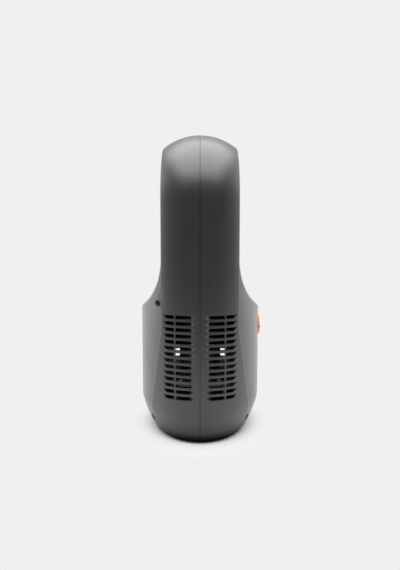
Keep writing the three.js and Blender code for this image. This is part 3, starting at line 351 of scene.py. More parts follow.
def slot_depth(x, z):
    """How far the outer surface is sunk round the intake slots. Towards the seam each slot runs
    out in a V that narrows and gets shallower evenly. Away from it a ramp rises to the surface as a
    power of what is left of it. The web between the windows is a little sunk, and the long edges
    are quarter-rounds."""
    row = np.clip(np.round((SLOT_TOP - z) / SLOT_PITCH), 0, SLOT_ROWS - 1)
    rise = z - (SLOT_TOP - row * SLOT_PITCH)
    start = np.clip((x - INNER_TIP) / (INNER_WINDOW[0] - INNER_TIP), 0, 1)
    off = np.abs(rise + VEE_DROP) / (HALF_SLOT * start + 1e-6)
    vee = VEE_DEPTH * start * np.clip(1 - off, 0, 1)
    end = np.clip(1 - (x - OUTER_WINDOW[1]) / (OUTER_TIP - OUTER_WINDOW[1]), 0, 1)
    half = HALF_SLOT * (RUN_OUT_TIP + (1 - RUN_OUT_TIP) * end)
    off = np.abs(rise - RUN_OUT_LIFT * (1 - end)) / half
    ramp = RUN_OUT_DEPTH * end**RUN_OUT_POWER * np.clip(1 - off**4, 0, 1)
    web = np.where(np.abs(rise) < HALF_SLOT - 0.01, WEB_SINK, 0)
    edge = quarter_drop(np.abs(rise) - HALF_SLOT, SLOT_ROUND)
    between = (x >= INNER_WINDOW[0] - 0.01) & (x <= OUTER_WINDOW[1] + 0.01)
    in_web = (x > INNER_WINDOW[1] - 0.01) & (x < OUTER_WINDOW[0] + 0.01)
    sunk = np.where(between, np.where(in_web, np.maximum(edge, web), edge), 0)
    tail = np.where(x <= INNER_WINDOW[0] + 0.01, vee, 0)
    run_out = np.where(x >= OUTER_WINDOW[1] - 0.01, ramp, 0)
    return np.maximum(sunk, np.maximum(tail, run_out))


# ---- Half shells -----------------------------------------------------------------------------

SEAM_COLUMNS = [0.05, 0.12, 0.24, SEAM_ROUND]
SIDE_COLUMNS = np.array(
    SEAM_COLUMNS
    + [2.0, 3.4, INNER_TIP, 5.6, 6.8, 8.0, INNER_WINDOW[0]]
    + [12.1, 15.0, 17.8, 20.3, 22.9, INNER_WINDOW[1], 25.8, 26.7, OUTER_WINDOW[0]]
    + [29.7, 32.3, OUTER_WINDOW[1], 35.9, 36.9, 37.9, OUTER_TIP]
)
SEAM_PAINTED_SHADE = -0.35  # painted shade along the seam
PAINTED_SHADE_DEPTH = 0.12  # slots and recesses get painted shade where they are deeper
LAST_SIDE = 3  # columns from the slots' tips to the crease
CREASE_STEPS = 4
LEG_COLUMNS = 4
CORNER_COLUMNS = 10
MIDDLE_COLUMNS = 40
SLOT_ZONE_TOP = 136.0
RIDGE_ROWS = 22
HOLE_ROWS = 18
ARCH_ROWS = 72
LEG_ROWS = 12


def row_heights():
    """Heights of the rows up to the top of the slots: close ones at the rounded lower edge and at
    the edges of each slot, even ones between."""
    low = FOOT_PROUD + np.array([0, 0.04, 0.12, 0.25, 0.45, 0.7, 1, 1.4, 1.9, 2.5, 3.2, 4, 5])
    edge = HALF_SLOT + SLOT_ROUND * np.array([0, 0.35, 1])
    across = np.linspace(-1, 1, 7)[1:-1] * HALF_SLOT
    slot = np.concatenate([[-SLOT_PITCH / 2], -edge[::-1], across, edge])
    rows = [SLOT_TOP - i * SLOT_PITCH + slot for i in reversed(range(SLOT_ROWS))]
    bottom = rows[0][0]
    plain = np.linspace(low[-1], bottom, 34)[1:-1]
    return np.concatenate([low, plain, *rows, [SLOT_ZONE_TOP]])


def front_columns(offset, end):
    """Places across the front from one crease to the other, as shares of the half width: even
    over the leg, following the corner of the hole, then even over the middle."""
    edge = HOLE_HALF_WIDTH + offset
    leg = np.linspace(end, edge, LEG_COLUMNS + 1)
    turn = np.linspace(math.pi / 2, 0, CORNER_COLUMNS + 1)[1:]
    corner = CORNER_Y + (HOLE_CORNER + offset) * np.sin(turn)
    middle = np.linspace(CORNER_Y, 0, MIDDLE_COLUMNS + 1)[1:]
    half = np.concatenate([leg, corner, middle])
    return np.concatenate([-half, half[-2::-1]]) / end


def side_places(z, inset, edge):
    """x of the columns of the rounded side at each height. Those past the slots are spread up to
    the crease, and the inner wall's are drawn back in the same order."""
    reach = crease(z, inset)[0] * drawn_in(z)[0] - edge
    outer = crease(z, 0)[0] * drawn_in(z)[0] - EDGE_ROUND
    last = SIDE_COLUMNS[-1]
    spread = last + (outer - last)[:, None] * np.arange(1, LAST_SIDE + 1) / LAST_SIDE
    x = np.concatenate([np.tile(SIDE_COLUMNS, (len(z), 1)), spread], axis=1)
    start = OUTER_WINDOW[1]
    squeeze = ((reach - start) / (outer - start))[:, None]
    return np.where(x > start, start + (x - start) * squeeze, x)


def base_grid(inset, edge, offset):
    """Points of the base, rows by columns. A row runs from the seam round the left side, over the
    crease by a quadratic curve, across the front and back to the seam on the right. Above the
    slots the rows follow the ridge of the scoop, and then the lower edge of the hole."""
    rows = row_heights()
    end = crease(STRAIGHT_FROM, inset)[1] - edge
    share = front_columns(offset, end)
    side_count = len(SIDE_COLUMNS) + LAST_SIDE
    flank = side_count + CREASE_STEPS - 1
    across = np.concatenate([np.ones(flank), np.abs(share), np.ones(flank)]) * end
    ridge = ridge_z(across, inset)
    beside = across > HOLE_HALF_WIDTH + offset - 1e-6
    roof = np.where(beside, CORNER_Z, hole_floor(across, offset))
    # Rows draw together at the ridge from both sides
    lift = 1 - (1 - np.linspace(0, 1, RIDGE_ROWS + 1)[1:, None]) ** 1.8
    rise = np.linspace(0, 1, HOLE_ROWS + 1)[1:, None] ** 1.6
    z = np.concatenate(
        [
            np.tile(rows[:, None], (1, len(across))),
            SLOT_ZONE_TOP + (ridge - SLOT_ZONE_TOP) * lift,
            ridge + (roof - ridge) * rise,
        ]
    )
    half = np.zeros(z.shape + (3,))
    left = z[:, :side_count]
    x = side_places(z[:, 0], inset, edge)
    y = side_y(x, left, inset)
    if inset == 0:
        y = y - quarter_drop(x, SEAM_ROUND) - slot_depth(x, left)
    half[:, :side_count] = np.stack([x, -y, left], axis=-1)
    fillet = slice(side_count, flank)
    half[:, fillet] = crease_curve(z[:, fillet], inset, edge)
    front = slice(flank, flank + len(share))
    face = z[:, front]
    wide = crease(face, inset)[1] * drawn_in(face)[1] - edge
    y = share * wide
    half[:, front] = np.stack([face_x(y, face, inset), y, face], axis=-1)
    mirror = half[:, :flank][:, ::-1] * np.array([1, -1, 1])
    half[:, flank + len(share):] = mirror
    return half


def crease_curve(z, inset, edge):
    """The rounded crease: a quadratic curve from the side to the flank with the crease as its
    middle handle, at the steps between its ends."""
    corner_x, corner_y = crease(z, inset)
    share_x, share_y = drawn_in(z)
    corner_x, corner_y = corner_x * share_x, corner_y * share_y
    side = np.stack([corner_x - edge, -side_y(corner_x - edge, z, inset)], axis=-1)
    y = -(corner_y - edge)
    flank = np.stack([face_x(y, z, inset), y], axis=-1)
    corner = np.stack([corner_x, -corner_y], axis=-1)
    s = (np.arange(1, CREASE_STEPS) / CREASE_STEPS)[None, :, None]
    made = (1 - s) ** 2 * side + 2 * s * (1 - s) * corner + s**2 * flank
    return np.concatenate([made, z[:, :, None]], axis=-1)


def hoop_grid(base, leg):
    """Points of the hoop: the cross-section at the top of the base, from the seam to the hole's
    edge, carried up the left leg, over the arch in a half circle and down the right leg."""
    section = base[-1, :leg]
    x, reach = section[:, 0], -section[:, 1]
    up = np.linspace(CORNER_Z, HOOP_CENTRE, LEG_ROWS + 1)[1:]
    turn = np.linspace(0, math.pi, ARCH_ROWS + 1)[1:]
    rows = [np.stack([x, -reach, 0 * x + z], axis=-1) for z in up]
    for a in turn:
        rows.append(
            np.stack([x, -reach * math.cos(a), HOOP_CENTRE + reach * math.sin(a)], axis=-1)
        )
    rows += [np.stack([x, reach, 0 * x + z], axis=-1) for z in up[::-1][1:]]
    return np.array(rows)


class Shell:
    """One half of the casing: an outer and an inner skin whose points have the same order, so
    that every open edge of one joins the other. Recesses and bosses are chains of rings."""

    def __init__(self, lip_end):
        outer = base_grid(0, EDGE_ROUND, HOLE_ROUND)
        inner = base_grid(WALL, INNER_ROUND, WALL)
        inner[:, [0, -1], 0] = 0  # both inner skins meet there, so that the seam lets no light in
        rows, columns = outer.shape[:2]
        self.grid = outer
        self.base = np.arange(rows * columns).reshape(rows, columns)
        leg = len(SIDE_COLUMNS) + LAST_SIDE + CREASE_STEPS + LEG_COLUMNS
        hoop_out, hoop_in = hoop_grid(outer, leg), hoop_grid(inner, leg)
        hoop = rows * columns + np.arange(len(hoop_out) * leg).reshape(-1, leg)
        left, right = self.base[-1:, :leg], self.base[-1:, ::-1][:, :leg]
        hoop = np.concatenate([left, hoop, right])
        points = np.concatenate([outer.reshape(-1, 3), hoop_out.reshape(-1, 3)])
        inside = np.concatenate([inner.reshape(-1, 3), hoop_in.reshape(-1, 3)])
        floor = self.base[-1, leg - 1 : columns - leg + 1]
        edge = np.concatenate([floor, hoop[1:-1, -1][::-1]])
        lip_out, lip_in = hole_lip(points[edge], inside[edge], lip_end)
        lip = len(points) + np.arange(len(lip_out) * len(edge)).reshape(-1, len(edge))
        lip = np.concatenate([edge[None], lip])
        self.outer = np.concatenate([points, lip_out.reshape(-1, 3)])
        self.inner = np.concatenate([inside, lip_in.reshape(-1, 3)])
        self.total = len(self.outer)
        self.cells = quads(self.base).reshape(rows - 1, columns - 1, 4)
        self.others = np.concatenate([quads(hoop), quads(lip, wrap=True)])
        self.outer_kept = ~slot_windows(outer)
        self.inner_kept = self.outer_kept.copy()
        crease_columns = slice(len(SIDE_COLUMNS) + LAST_SIDE, leg - LEG_COLUMNS - 1)
        # Painted light for each point: a painted highlight along the creases, painted shade along
        # the seam and in the slots where they are sunk deep
        self.painted_light = np.zeros(2 * self.total)
        for sheet in (self.base, self.base[:, ::-1], hoop):
            self.painted_light[sheet[:, crease_columns]] = 1
            self.painted_light[sheet[:, : len(SEAM_COLUMNS)]] = SEAM_PAINTED_SHADE
        depth = slot_depth(outer[:, :, 0], outer[:, :, 2])
        self.painted_light[self.base[depth > PAINTED_SHADE_DEPTH]] = -np.clip(depth[depth > PAINTED_SHADE_DEPTH], 0, 1)
        # painted shade over the whole inner skin
        self.painted_light[self.total :] = -1
        self.added = []
        self.painted_shade = []
        self.chains = []
        self.ends = []
        self.joined = np.zeros(self.total, bool)

    def opened(self, y, z, reach, through):
        """Removes the cells round a place and returns the point numbers round the opening,
        counter-clockwise seen from outside."""
        near = (np.abs(self.grid[:, :, 1] - y) < reach) & (np.abs(self.grid[:, :, 2] - z) < reach)
        rows, columns = np.flatnonzero(near.any(axis=1)), np.flatnonzero(near.any(axis=0))
        low, high = rows[0] - 1, rows[-1] + 1
        left, right = columns[0] - 1, columns[-1] + 1
        self.inner_kept[low:high, left:right] = False
        if through:
            self.outer_kept[low:high, left:right] = False
        base = self.base
        up, down = base[low:high, right], base[high:low:-1, left]
        return np.concatenate([base[low, left:right], up, base[high, right:left:-1], down])

    def chain(self, loop, y, z, path):
        """Rings of points from an opening inwards, joined to it. Each ring of the path is a
        stadium of a half length and a radius, at a depth, or where that is None on the skin at
        an inset; each of its points lies on the ray from the middle to a point of the opening."""
        skin = self.outer if loop[0] < self.total else self.inner
        corner = skin[loop % self.total]
        angle = np.arctan2(corner[:, 2] - z, corner[:, 1] - y)
        along, across = np.cos(angle), np.sin(angle)
        rings = []
        for length, radius, depth, inset in path:
            flat = radius / np.maximum(np.abs(across), 1e-9)
            end = length * np.abs(along)
            end = end + np.sqrt(np.clip(radius**2 - (length * across) ** 2, 0, None))
            reach = np.where(flat * np.abs(along) <= length, flat, end)
            ring_y, ring_z = y + reach * along, z + reach * across
            x = wall_x(ring_y, ring_z, inset) if depth is None else depth + 0 * ring_y
            rings.append(np.stack([x, ring_y, ring_z], axis=-1))
            # rings at a depth, or sunk past the painted-shade depth, get painted shade
            in_painted_shade = depth is not None or inset > PAINTED_SHADE_DEPTH
            self.painted_shade.append(np.full(len(loop), -1.0 if in_painted_shade else 0.0))
        start = 2 * self.total + sum(len(points) for points in self.added)
        self.added.append(np.concatenate(rings))
        index = start + np.arange(len(rings) * len(loop)).reshape(-1, len(loop))
        return np.concatenate([loop[None], index])

    def bore(self, y, z, reach, path):
        """A recess or hole from the outer skin to the inner one, by way of the path's rings."""
        loop = self.opened(y, z, reach, through=True)
        index = self.chain(loop, y, z, path)
        index = np.concatenate([index, loop[None] + self.total])
        self.chains.append(quads(index, wrap=True))
        self.joined[loop] = True

    def boss(self, y, z, reach, path):
        """A hollow boss on the inner skin, whose last ring is closed."""
        loop = self.opened(y, z, reach, through=False)
        index = self.chain(loop + self.total, y, z, path)[:, ::-1]
        self.chains.append(quads(index, wrap=True))
        self.ends.append(index[-1])

    def mesh(self, side):
        """Points, faces and painted light. Every open edge of the outer skin that no recess has
        taken gets a face across to the inner skin. The rear half is the front half's form mirrored."""
        outside = np.concatenate([self.cells[self.outer_kept], self.others])
        inside = np.concatenate([self.cells[self.inner_kept], self.others]) + self.total
        edges = np.stack([outside, np.roll(outside, -1, axis=1)], axis=-1).reshape(-1, 2)
        there = edges[:, 0] * self.total + edges[:, 1]
        back = edges[:, 1] * self.total + edges[:, 0]
        lone = edges[~np.isin(there, back)]
        a, b = lone[~self.joined[lone].all(axis=1)].T
        rims = np.stack([b, a, a + self.total, b + self.total], axis=-1)
        faces = np.concatenate([outside, inside[:, ::-1], rims, *self.chains])
        ends = [np.asarray(end) for end in self.ends]
        points = np.concatenate([self.outer, self.inner, *self.added])
        if side < 0:
            points = points * np.array([-1, 1, 1])
            faces = faces[:, ::-1]
            ends = [end[::-1] for end in ends]
        used = np.zeros(len(points), bool)
        used[faces] = True
        number = np.cumsum(used) - 1
        painted_light = np.concatenate([self.painted_light, *self.painted_shade])
        faces = number[faces].tolist() + [number[end].tolist() for end in ends]
        return points[used], faces, painted_light[used]


def hole_lip(outer, inner, lip_end):
    """Rings of the lip round the hole, outer and inner: a quadratic curve over the edge, then
    straight back to the end of the lip, whose edge is rounded too."""
    ny, nz = hole_normal(outer[:, 1], outer[:, 2])
    y, z = outer[:, 1] - HOLE_ROUND * ny, outer[:, 2] - HOLE_ROUND * nz
    corner = face_x(y, z, 0)
    start = corner - HOLE_ROUND
    rings = []
    for s in (0.25, 0.5, 0.75, 1.0):
        x = (1 - s) ** 2 * outer[:, 0] + 2 * s * (1 - s) * corner + s**2 * start
        rings.append((x, (1 - s) ** 2 * HOLE_ROUND))
    for s in (0.3, 0.7):
        rings.append((start + (lip_end + LIP_ROUND - start) * s, 0))
    for a in (0, math.pi / 4, math.pi / 2):
        x = lip_end + LIP_ROUND * (1 - math.sin(a)) + 0 * start
        rings.append((x, LIP_ROUND * (1 - math.cos(a))))
    outside = [np.stack([x, y + o * ny, z + o * nz], axis=-1) for x, o in rings]
    inside = []
    for s in np.arange(1, len(rings) + 1) / len(rings):
        x = inner[:, 0] + (lip_end - inner[:, 0]) * s
        inside.append(np.stack([x, inner[:, 1], inner[:, 2]], axis=-1))
    return np.array(outside), np.array(inside)


def slot_windows(grid):
    """Which cells of the base lie inside a window of a slot."""
    middle = (grid[:-1, :-1] + grid[1:, 1:]) / 2
    x, z = middle[:, :, 0], middle[:, :, 2]
    row = np.clip(np.round((SLOT_TOP - z) / SLOT_PITCH), 0, SLOT_ROWS - 1)
    low = np.abs(z - SLOT_TOP + row * SLOT_PITCH) < HALF_SLOT
    side = len(SIDE_COLUMNS) - 1
    column = np.arange(x.shape[1])
    low &= (column < side) | (column >= x.shape[1] - side)
    inner = (x > INNER_WINDOW[0]) & (x < INNER_WINDOW[1])
    outer = (x > OUTER_WINDOW[0]) & (x < OUTER_WINDOW[1])
    return low & (inner | outer)


def on_skin(radius, inset=0.0, length=0.0):
    return (length, radius, None, inset)


def at_depth(radius, depth, length=0.0):
    return (length, radius, depth, 0)


def rim(radius):
    """The rounded edge of a recess, from the surface round it to its wall."""
    return [
        on_skin(radius + 0.75),
        on_skin(radius + 0.5),
        on_skin(radius + 0.15, 0.12),
        on_skin(radius, 0.45),
    ]


def well_path(radius, floor, hole, end, boss):
    """A screw's well: a rounded edge, the well, its floor with the screw hole through it, and
    the end and the outside of the boss behind it."""
    return [
        on_skin(radius + 0.6),
        on_skin(radius + 0.35),
        on_skin(radius + 0.1, 0.1),
        on_skin(radius, 0.35),
        at_depth(radius, floor + 0.3),
        at_depth(radius - 0.3, floor),
        at_depth(hole + 0.2, floor),
        at_depth(hole, floor - 0.2),
        at_depth(hole, end),
        at_depth(boss - 0.2, end),
        at_depth(boss, end + 0.2),
        on_skin(boss, WALL),
    ]


def front_half():
    """The front shell: lips round the hole, the dial's recess with its rim, the button's hole,
    the lower screws' wells, the upper bosses and the lower posts of the board."""
    shell = Shell(FRONT_LIP_BACK)
    floor = BASE_HALF_DEPTH - DIAL_SINK
    back = floor - WALL
    recess = DIAL_RADIUS + DIAL_CLEARANCE
    hole = SPINDLE_RADIUS + DIAL_CLEARANCE
    shell.bore(0, DIAL_Z, recess + WALL + 0.8, [
        on_skin(recess + 2.0),
        *rim(recess),
        at_depth(recess, floor + 0.4),
        at_depth(recess - 0.4, floor),
        at_depth(hole + 0.3, floor),
        at_depth(hole, floor - 0.3),
        at_depth(hole, back),
        at_depth(recess + 1.8, back),
        at_depth(recess + 2.0, back + 0.2),
        on_skin(recess + 2.0, WALL),
    ])
    gap = BUTTON_RADIUS + BUTTON_CLEARANCE
    shell.bore(0, BUTTON_Z, gap + 1.2, [*rim(gap), on_skin(gap, WALL)])
    for side in (-1, 1):
        path = well_path(WELL_RADIUS, LOWER_FLOOR, SCREW_HOLE, LOWER_BOSS_END, WELL_BOSS)
        shell.bore(side * LOWER_WELL_Y, LOWER_WELL_Z, WELL_BOSS + 0.6, path)
        shell.boss(side * UPPER_WELL_Y, UPPER_WELL_Z, WELL_BOSS + 0.6, [
            on_skin(WELL_BOSS, WALL),
            at_depth(WELL_BOSS, HALF_GAP + 0.2),
            at_depth(WELL_BOSS - 0.2, HALF_GAP),
            at_depth(SCREW_HOLE + 0.2, HALF_GAP),
            at_depth(SCREW_HOLE, HALF_GAP + 0.2),
            at_depth(SCREW_HOLE, UPPER_HOLE_END),
        ])
        shell.boss(side * POST_Y, POST_Z, POST_RADIUS + 0.6, [
            on_skin(POST_RADIUS, WALL),
            at_depth(POST_RADIUS, BOARD_FRONT + 0.2),
            at_depth(POST_RADIUS - 0.2, BOARD_FRONT),
            at_depth(SCREW_HOLE, BOARD_FRONT),
            at_depth(SCREW_HOLE, BOARD_FRONT + POST_HOLE_DEPTH),
        ])
    return shell.mesh(1)


def rear_half():
    """The rear shell: lips round the hole, four screw wells and the mouth of the inlet."""
    shell = Shell(REAR_LIP_FRONT)
    for side in (-1, 1):
        path = well_path(WELL_RADIUS, UPPER_FLOOR, SCREW_HOLE, HALF_GAP, WELL_BOSS)
        shell.bore(side * UPPER_WELL_Y, UPPER_WELL_Z, WELL_BOSS + 0.6, path)
        path = well_path(WELL_RADIUS, LOWER_FLOOR, SCREW_HOLE, LOWER_BOSS_END, WELL_BOSS)
        shell.bore(side * LOWER_WELL_Y, LOWER_WELL_Z, WELL_BOSS + 0.6, path)
    length, radius = (INLET_WIDTH - INLET_HEIGHT) / 2, INLET_HEIGHT / 2 + INLET_CLEARANCE
    shell.bore(0, INLET_Z, length + radius + 1.0, [
        on_skin(radius + 0.6, 0, length),
        on_skin(radius + 0.2, 0.15, length),
        on_skin(radius, 0.5, length),
        on_skin(radius, WALL, length),
    ])
    return shell.mesh(-1)


# ---- Other forms -------------------------------------------------------------------------------

def upright(points, x=0.0, y=0.0, z=0.0):
    """Points made round the z axis, moved to their place."""
    return np.asarray(points) + np.array([x, y, z])


def level(points, side, y, z):
    """Points made round the z axis, laid along x so that their top looks to a side."""
    turned_over = np.asarray(points)[:, [2, 0, 1]] * np.array([side, 1, side])
    return turned_over + np.array([0, y, z])


def in_millimetres(box):
    """Low and high corner of a box of the frame in millimetres."""
    return [corner / MM for corner in box]


def middle_of(box):
    """Middle in plan of a box of the frame, in millimetres from the seam."""
    low, high = in_millimetres(box)
    return (low.x + high.x) / 2 - SEAM / MM, (low.y + high.y) / 2


def stacked(outline, levels):
    """A closed form of an outline of (x, y) at levels of (height, inset): each ring is the
    outline moved inwards along its own normals, the mean of its two edges' normals. The first
    and last ring are filled."""
    outline = np.asarray(outline, float)
    edge = np.roll(outline, -1, axis=0) - outline
    edge = edge / np.linalg.norm(edge, axis=1)[:, None]
    normal = np.stack([edge[:, 1], -edge[:, 0]], axis=-1)
    normal = normal + np.roll(normal, 1, axis=0)
    normal = normal / np.linalg.norm(normal, axis=1)[:, None]
    rings = [
        np.column_stack([outline - inset * normal, np.full(len(outline), height)])
        for height, inset in levels
    ]
    index = np.arange(len(rings) * len(outline)).reshape(len(rings), -1)
    faces = quads(index, wrap=True).tolist() + [index[0][::-1].tolist(), index[-1].tolist()]
    return np.concatenate(rings), faces


def stadium(half_length, radius, steps=12):
    """Outline of a stadium along x, counter-clockwise: two half circles and the lines between."""
    a = np.linspace(-math.pi / 2, math.pi / 2, steps + 1)
    right = np.column_stack([half_length + radius * np.cos(a), radius * np.sin(a)])
    return np.concatenate([right, -right])


def cut_by(made, *tools):
    """Cuts other closed forms out of a piece and drops them."""
    for points, faces in tools:
        place = np.asarray(points, float) * MM
        place[:, 0] += SEAM
        mesh = bpy.data.meshes.new("cutter")
        mesh.from_pydata(place.tolist(), [], faces)
        tool = bpy.data.objects.new("cutter", mesh)
        bpy.context.scene.collection.objects.link(tool)
        cut = made.modifiers.new("cut", "BOOLEAN")
        cut.operation = "DIFFERENCE"
        cut.solver = "EXACT"
        cut.object = tool
    bpy.context.view_layer.update()
    seen = made.evaluated_get(bpy.context.evaluated_depsgraph_get())
    mesh = bpy.data.meshes.new_from_object(seen)
    for cut in list(made.modifiers):
        tool = cut.object
        made.modifiers.remove(cut)
        bpy.data.objects.remove(tool)
    made.data = mesh
    mesh.shade_smooth()
    mesh.set_sharp_from_angle(angle=math.radians(SHARP_CUT))
    return made


def cylinder(radius, low, high, steps=48):
    return closed(*turned([(radius, low), (radius, high)], steps))


def hole_loop(steps):
    """Points (y, z) and unit normals once round the hole, counter-clockwise seen from the front:
    the floor and its two corners, the right leg, the arch and the left leg."""
    a = np.linspace(-math.pi / 2, 0, steps // 6 + 1)
    corner = np.column_stack([np.cos(a), np.sin(a)])
    right = np.array([CORNER_Y, CORNER_Z]) + HOLE_CORNER * corner
    b = np.linspace(0, math.pi, steps + 1)
    arch = np.column_stack([np.cos(b), np.sin(b)])
    crown = np.array([0, HOOP_CENTRE]) + HOLE_HALF_WIDTH * arch
    left_corner = corner[::-1] * np.array([-1, 1])
    left = right[::-1] * np.array([-1, 1])
    leg_z = np.linspace(CORNER_Z, HOOP_CENTRE, 6)[1:-1]
    leg = np.column_stack([np.full(4, HOLE_HALF_WIDTH), leg_z])
    side = np.tile([1.0, 0.0], (4, 1))
    points = [right, leg, crown, (leg * [-1, 1])[::-1], left]
    normals = [corner, side, arch, -side, left_corner]
    return np.concatenate(points), np.concatenate(normals)


def ring_section():
    """The inner wall's section as (x, offset from the hole): the skirt round the front lip, the
    wall, the nose behind the rear lip and the ramp, whose offset falls as a power of what is left
    of it."""
    skirt = WALL + SEAT_GAP
    nose = WALL + SLIT
    front = FRONT_LIP_BACK - SEAT_GAP
    ramp_end = NOZZLE_RAMP - REAR_LIP_FRONT
    back = -REAR_LIP_FRONT - NOSE_LENGTH
    share = np.linspace(0, 1, 13)[:-1]
    offset = nose * (1 - share) ** NOZZLE_RAMP_POWER
    ramp = np.column_stack([-REAR_LIP_FRONT + NOZZLE_RAMP * share, offset])
    corners = [
        (front, 0),
        (front, skirt),
        (front + SKIRT_LENGTH, skirt),
        (front + SKIRT_LENGTH, skirt + RING_WALL),
        (front - 2, skirt + RING_WALL),
        (front - 4, RING_WALL),
        (ramp_end, RING_WALL),
        (-REAR_LIP_FRONT, nose + RING_WALL),
        (back, nose + RING_WALL),
        (back, nose),
    ]
    return np.concatenate([rounded(corners, 0.5, 3), ramp, [[ramp_end, 0]]])


def nozzle_form():
    """The ring's section carried once round the hole along the normals."""
    section = ring_section()[::-1]
    points, normals = hole_loop(96)
    rings = []
    for x, offset in section:
        place = points + offset * normals
        rings.append(np.column_stack([np.full(len(place), x), place]))
    index = np.arange(len(section) * len(points)).reshape(len(section), -1)
    index = np.concatenate([index, index[:1]])
    return np.concatenate(rings), quads(index, wrap=True)[:, ::-1].tolist()


def dial_form():
    """The dial turned round its axis: a face with a shallow ring groove, a rounded edge, and a
    side whose radius waves 60 times round by 0.18 mm for grip."""
    back = BASE_HALF_DEPTH - DIAL_SINK + SEAT_GAP
    face = BASE_HALF_DEPTH + DIAL_PROUD
    r = DIAL_RADIUS
    profile = [
        (0.4, back), (r - 0.6, back), (r - 0.3, back + 0.1), (r - 0.05, back + 0.4),
        (r, back + 0.6), (r, face - 0.95), (r - 0.03, face - 0.8), (r - 0.12, face - 0.55),
        (r - 0.3, face - 0.3), (r - 0.55, face - 0.1), (r - 0.85, face - 0.02),
        (r - 1.2, face), (r - 2.3, face), (r - 2.45, face - 0.06), (r - 2.6, face - 0.18),
        (r - 2.8, face - 0.25), (r - 3.0, face - 0.18), (r - 3.15, face - 0.1),
        (r - 4.5, face - 0.16), (r - 7.0, face - 0.22), (0.4, face - 0.25),
    ]
    steps = 480
    points, faces, index = turned(profile, steps)
    side = (np.hypot(points[:, 0], points[:, 1]) > r - 0.56) & (points[:, 2] < face - 0.05)
    grip = 0.09 * (1 + np.cos(np.arange(steps) * 2 * math.pi * 60 / steps))
    share = 1 - np.tile(grip, len(profile)) * side / r
    points[:, :2] *= share[:, None]
    return closed(points, faces, index)


def mark_outline(gap, past):
    """Outline of the dial's mark: a rectangle with a round inner end that runs in from the rim,
    grown by a gap, let out past the rim, and turned about the dial's axis by MARK_ANGLE."""
    half = MARK_WIDTH / 2 + gap
    start, end = -DIAL_RADIUS - past, MARK_LENGTH - DIAL_RADIUS + gap
    a = np.linspace(-math.pi / 2, math.pi / 2, 13)
    tip = np.column_stack([end - half + half * np.cos(a), half * np.sin(a)])
    outline = np.concatenate([[[start, -half]], tip, [[start, half]]])
    c, s = math.cos(MARK_ANGLE), math.sin(MARK_ANGLE)
    return outline @ np.array([[c, s], [-s, c]])


def button_form():
    """The button turned round its axis: a flange behind the wall and a softly domed cap."""
    face = BASE_HALF_DEPTH + BUTTON_PROUD
    r = BUTTON_RADIUS
    inside = BASE_HALF_DEPTH - WALL - SEAT_GAP
    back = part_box("power_button")[0].x / MM - SEAM / MM
    profile = [
        (0.3, back), (r, back), (r, inside - 1.2), (r + 1.1, inside - 1.2), (r + 1.1, inside),
        (r, inside), (r, face - 0.7), (r - 0.06, face - 0.5), (r - 0.2, face - 0.3),
        (r - 0.42, face - 0.15), (r - 0.75, face - 0.07), (r - 1.3, face - 0.03), (0.3, face),
    ]
    return closed(*turned(profile, 64))


def screw_form(length, head=HEAD_HEIGHT, steps=64):
    """A pan-head screw with its head upwards and its seat at zero. The head's rings are circles
    that turn into a cross towards the middle: the cross reaches 1.6 mm along two axes and
    0.45 mm between them. The shank's radius waves along its length for a thread."""
    angle = np.arange(steps) * 2 * math.pi / steps
    c, s = np.abs(np.cos(angle)), np.abs(np.sin(angle))
    arm = np.minimum(1.6, 0.42 / np.maximum(np.minimum(c, s), 1e-6))
    rings = []
    turns = int(length / 0.35)
    rings.append((np.full(steps, 0.3), -length))
    for i in range(turns, 0, -1):
        taper = min(1, 0.4 + 0.12 * (turns - i))
        wave = SHANK_RADIUS * taper - (0.0 if i % 2 else 0.28)
        rings.append((np.full(steps, wave), -length * i / turns))
    r = HEAD_RADIUS
    for radius, height in (
        (1.2, -0.05), (r - 0.15, 0.0), (r, 0.12), (r, 0.45 * head), (r - 0.12, 0.62 * head),
        (r - 0.4, 0.82 * head), (r - 0.85, 0.95 * head), (r - 1.0, 0.985 * head),
    ):
        rings.append((np.full(steps, radius), height))
    for share, height in ((1.05, 1.0), (1.0, 0.97), (0.92, 0.45), (0.3, 0.35)):
        rings.append((arm * share, height * head))
    points = [
        np.column_stack([radius * np.cos(angle), radius * np.sin(angle), np.full(steps, z)])
        for radius, z in rings
    ]
    index = np.arange(len(rings) * steps).reshape(-1, steps)
    faces = quads(index, wrap=True).tolist() + [index[0][::-1].tolist(), index[-1].tolist()]
    return np.concatenate(points), faces


def foot_form(height):
    """A rubber foot turned round its axis: rounded edges and two grooves in its sole."""
    profile = [
        (0.5, 0.0), (1.6, 0.0), (1.7, 0.2), (2.2, 0.2), (2.3, 0.0), (3.6, 0.0), (3.7, 0.2),
        (4.2, 0.2), (4.3, 0.0), (5.3, 0.0), (5.65, 0.08), (5.88, 0.28), (6.0, 0.6),
        (6.0, height - 0.1), (5.9, height), (0.5, height),
    ]
    return closed(*turned(profile, 64))


def plan_outline(z, inset, steps=40):
    """The casing's outline at a height as (x, y), counter-clockwise: from the front tip over the
    flank to the crease, round the side to the seam, and the same mirrored."""
    share_x, share_y = drawn_in(z)
    crease_x, crease_y = crease(z, inset)
    y = crease_y * share_y * np.linspace(0, 1, steps + 1)[:-1]
    flank = np.column_stack([face_x(y, z, inset), y])
    x = crease_x * share_x * np.cos(np.linspace(0, math.pi / 2, steps + 1))
    side = np.column_stack([x, side_y(x, z, inset)])
    quarter = np.concatenate([flank, side])
    half = np.concatenate([quarter, quarter[-2::-1] * [-1, 1]])
    return np.concatenate([half, half[-2:0:-1] * [1, -1]])


# ---- Materials ---------------------------------------------------------------------------------

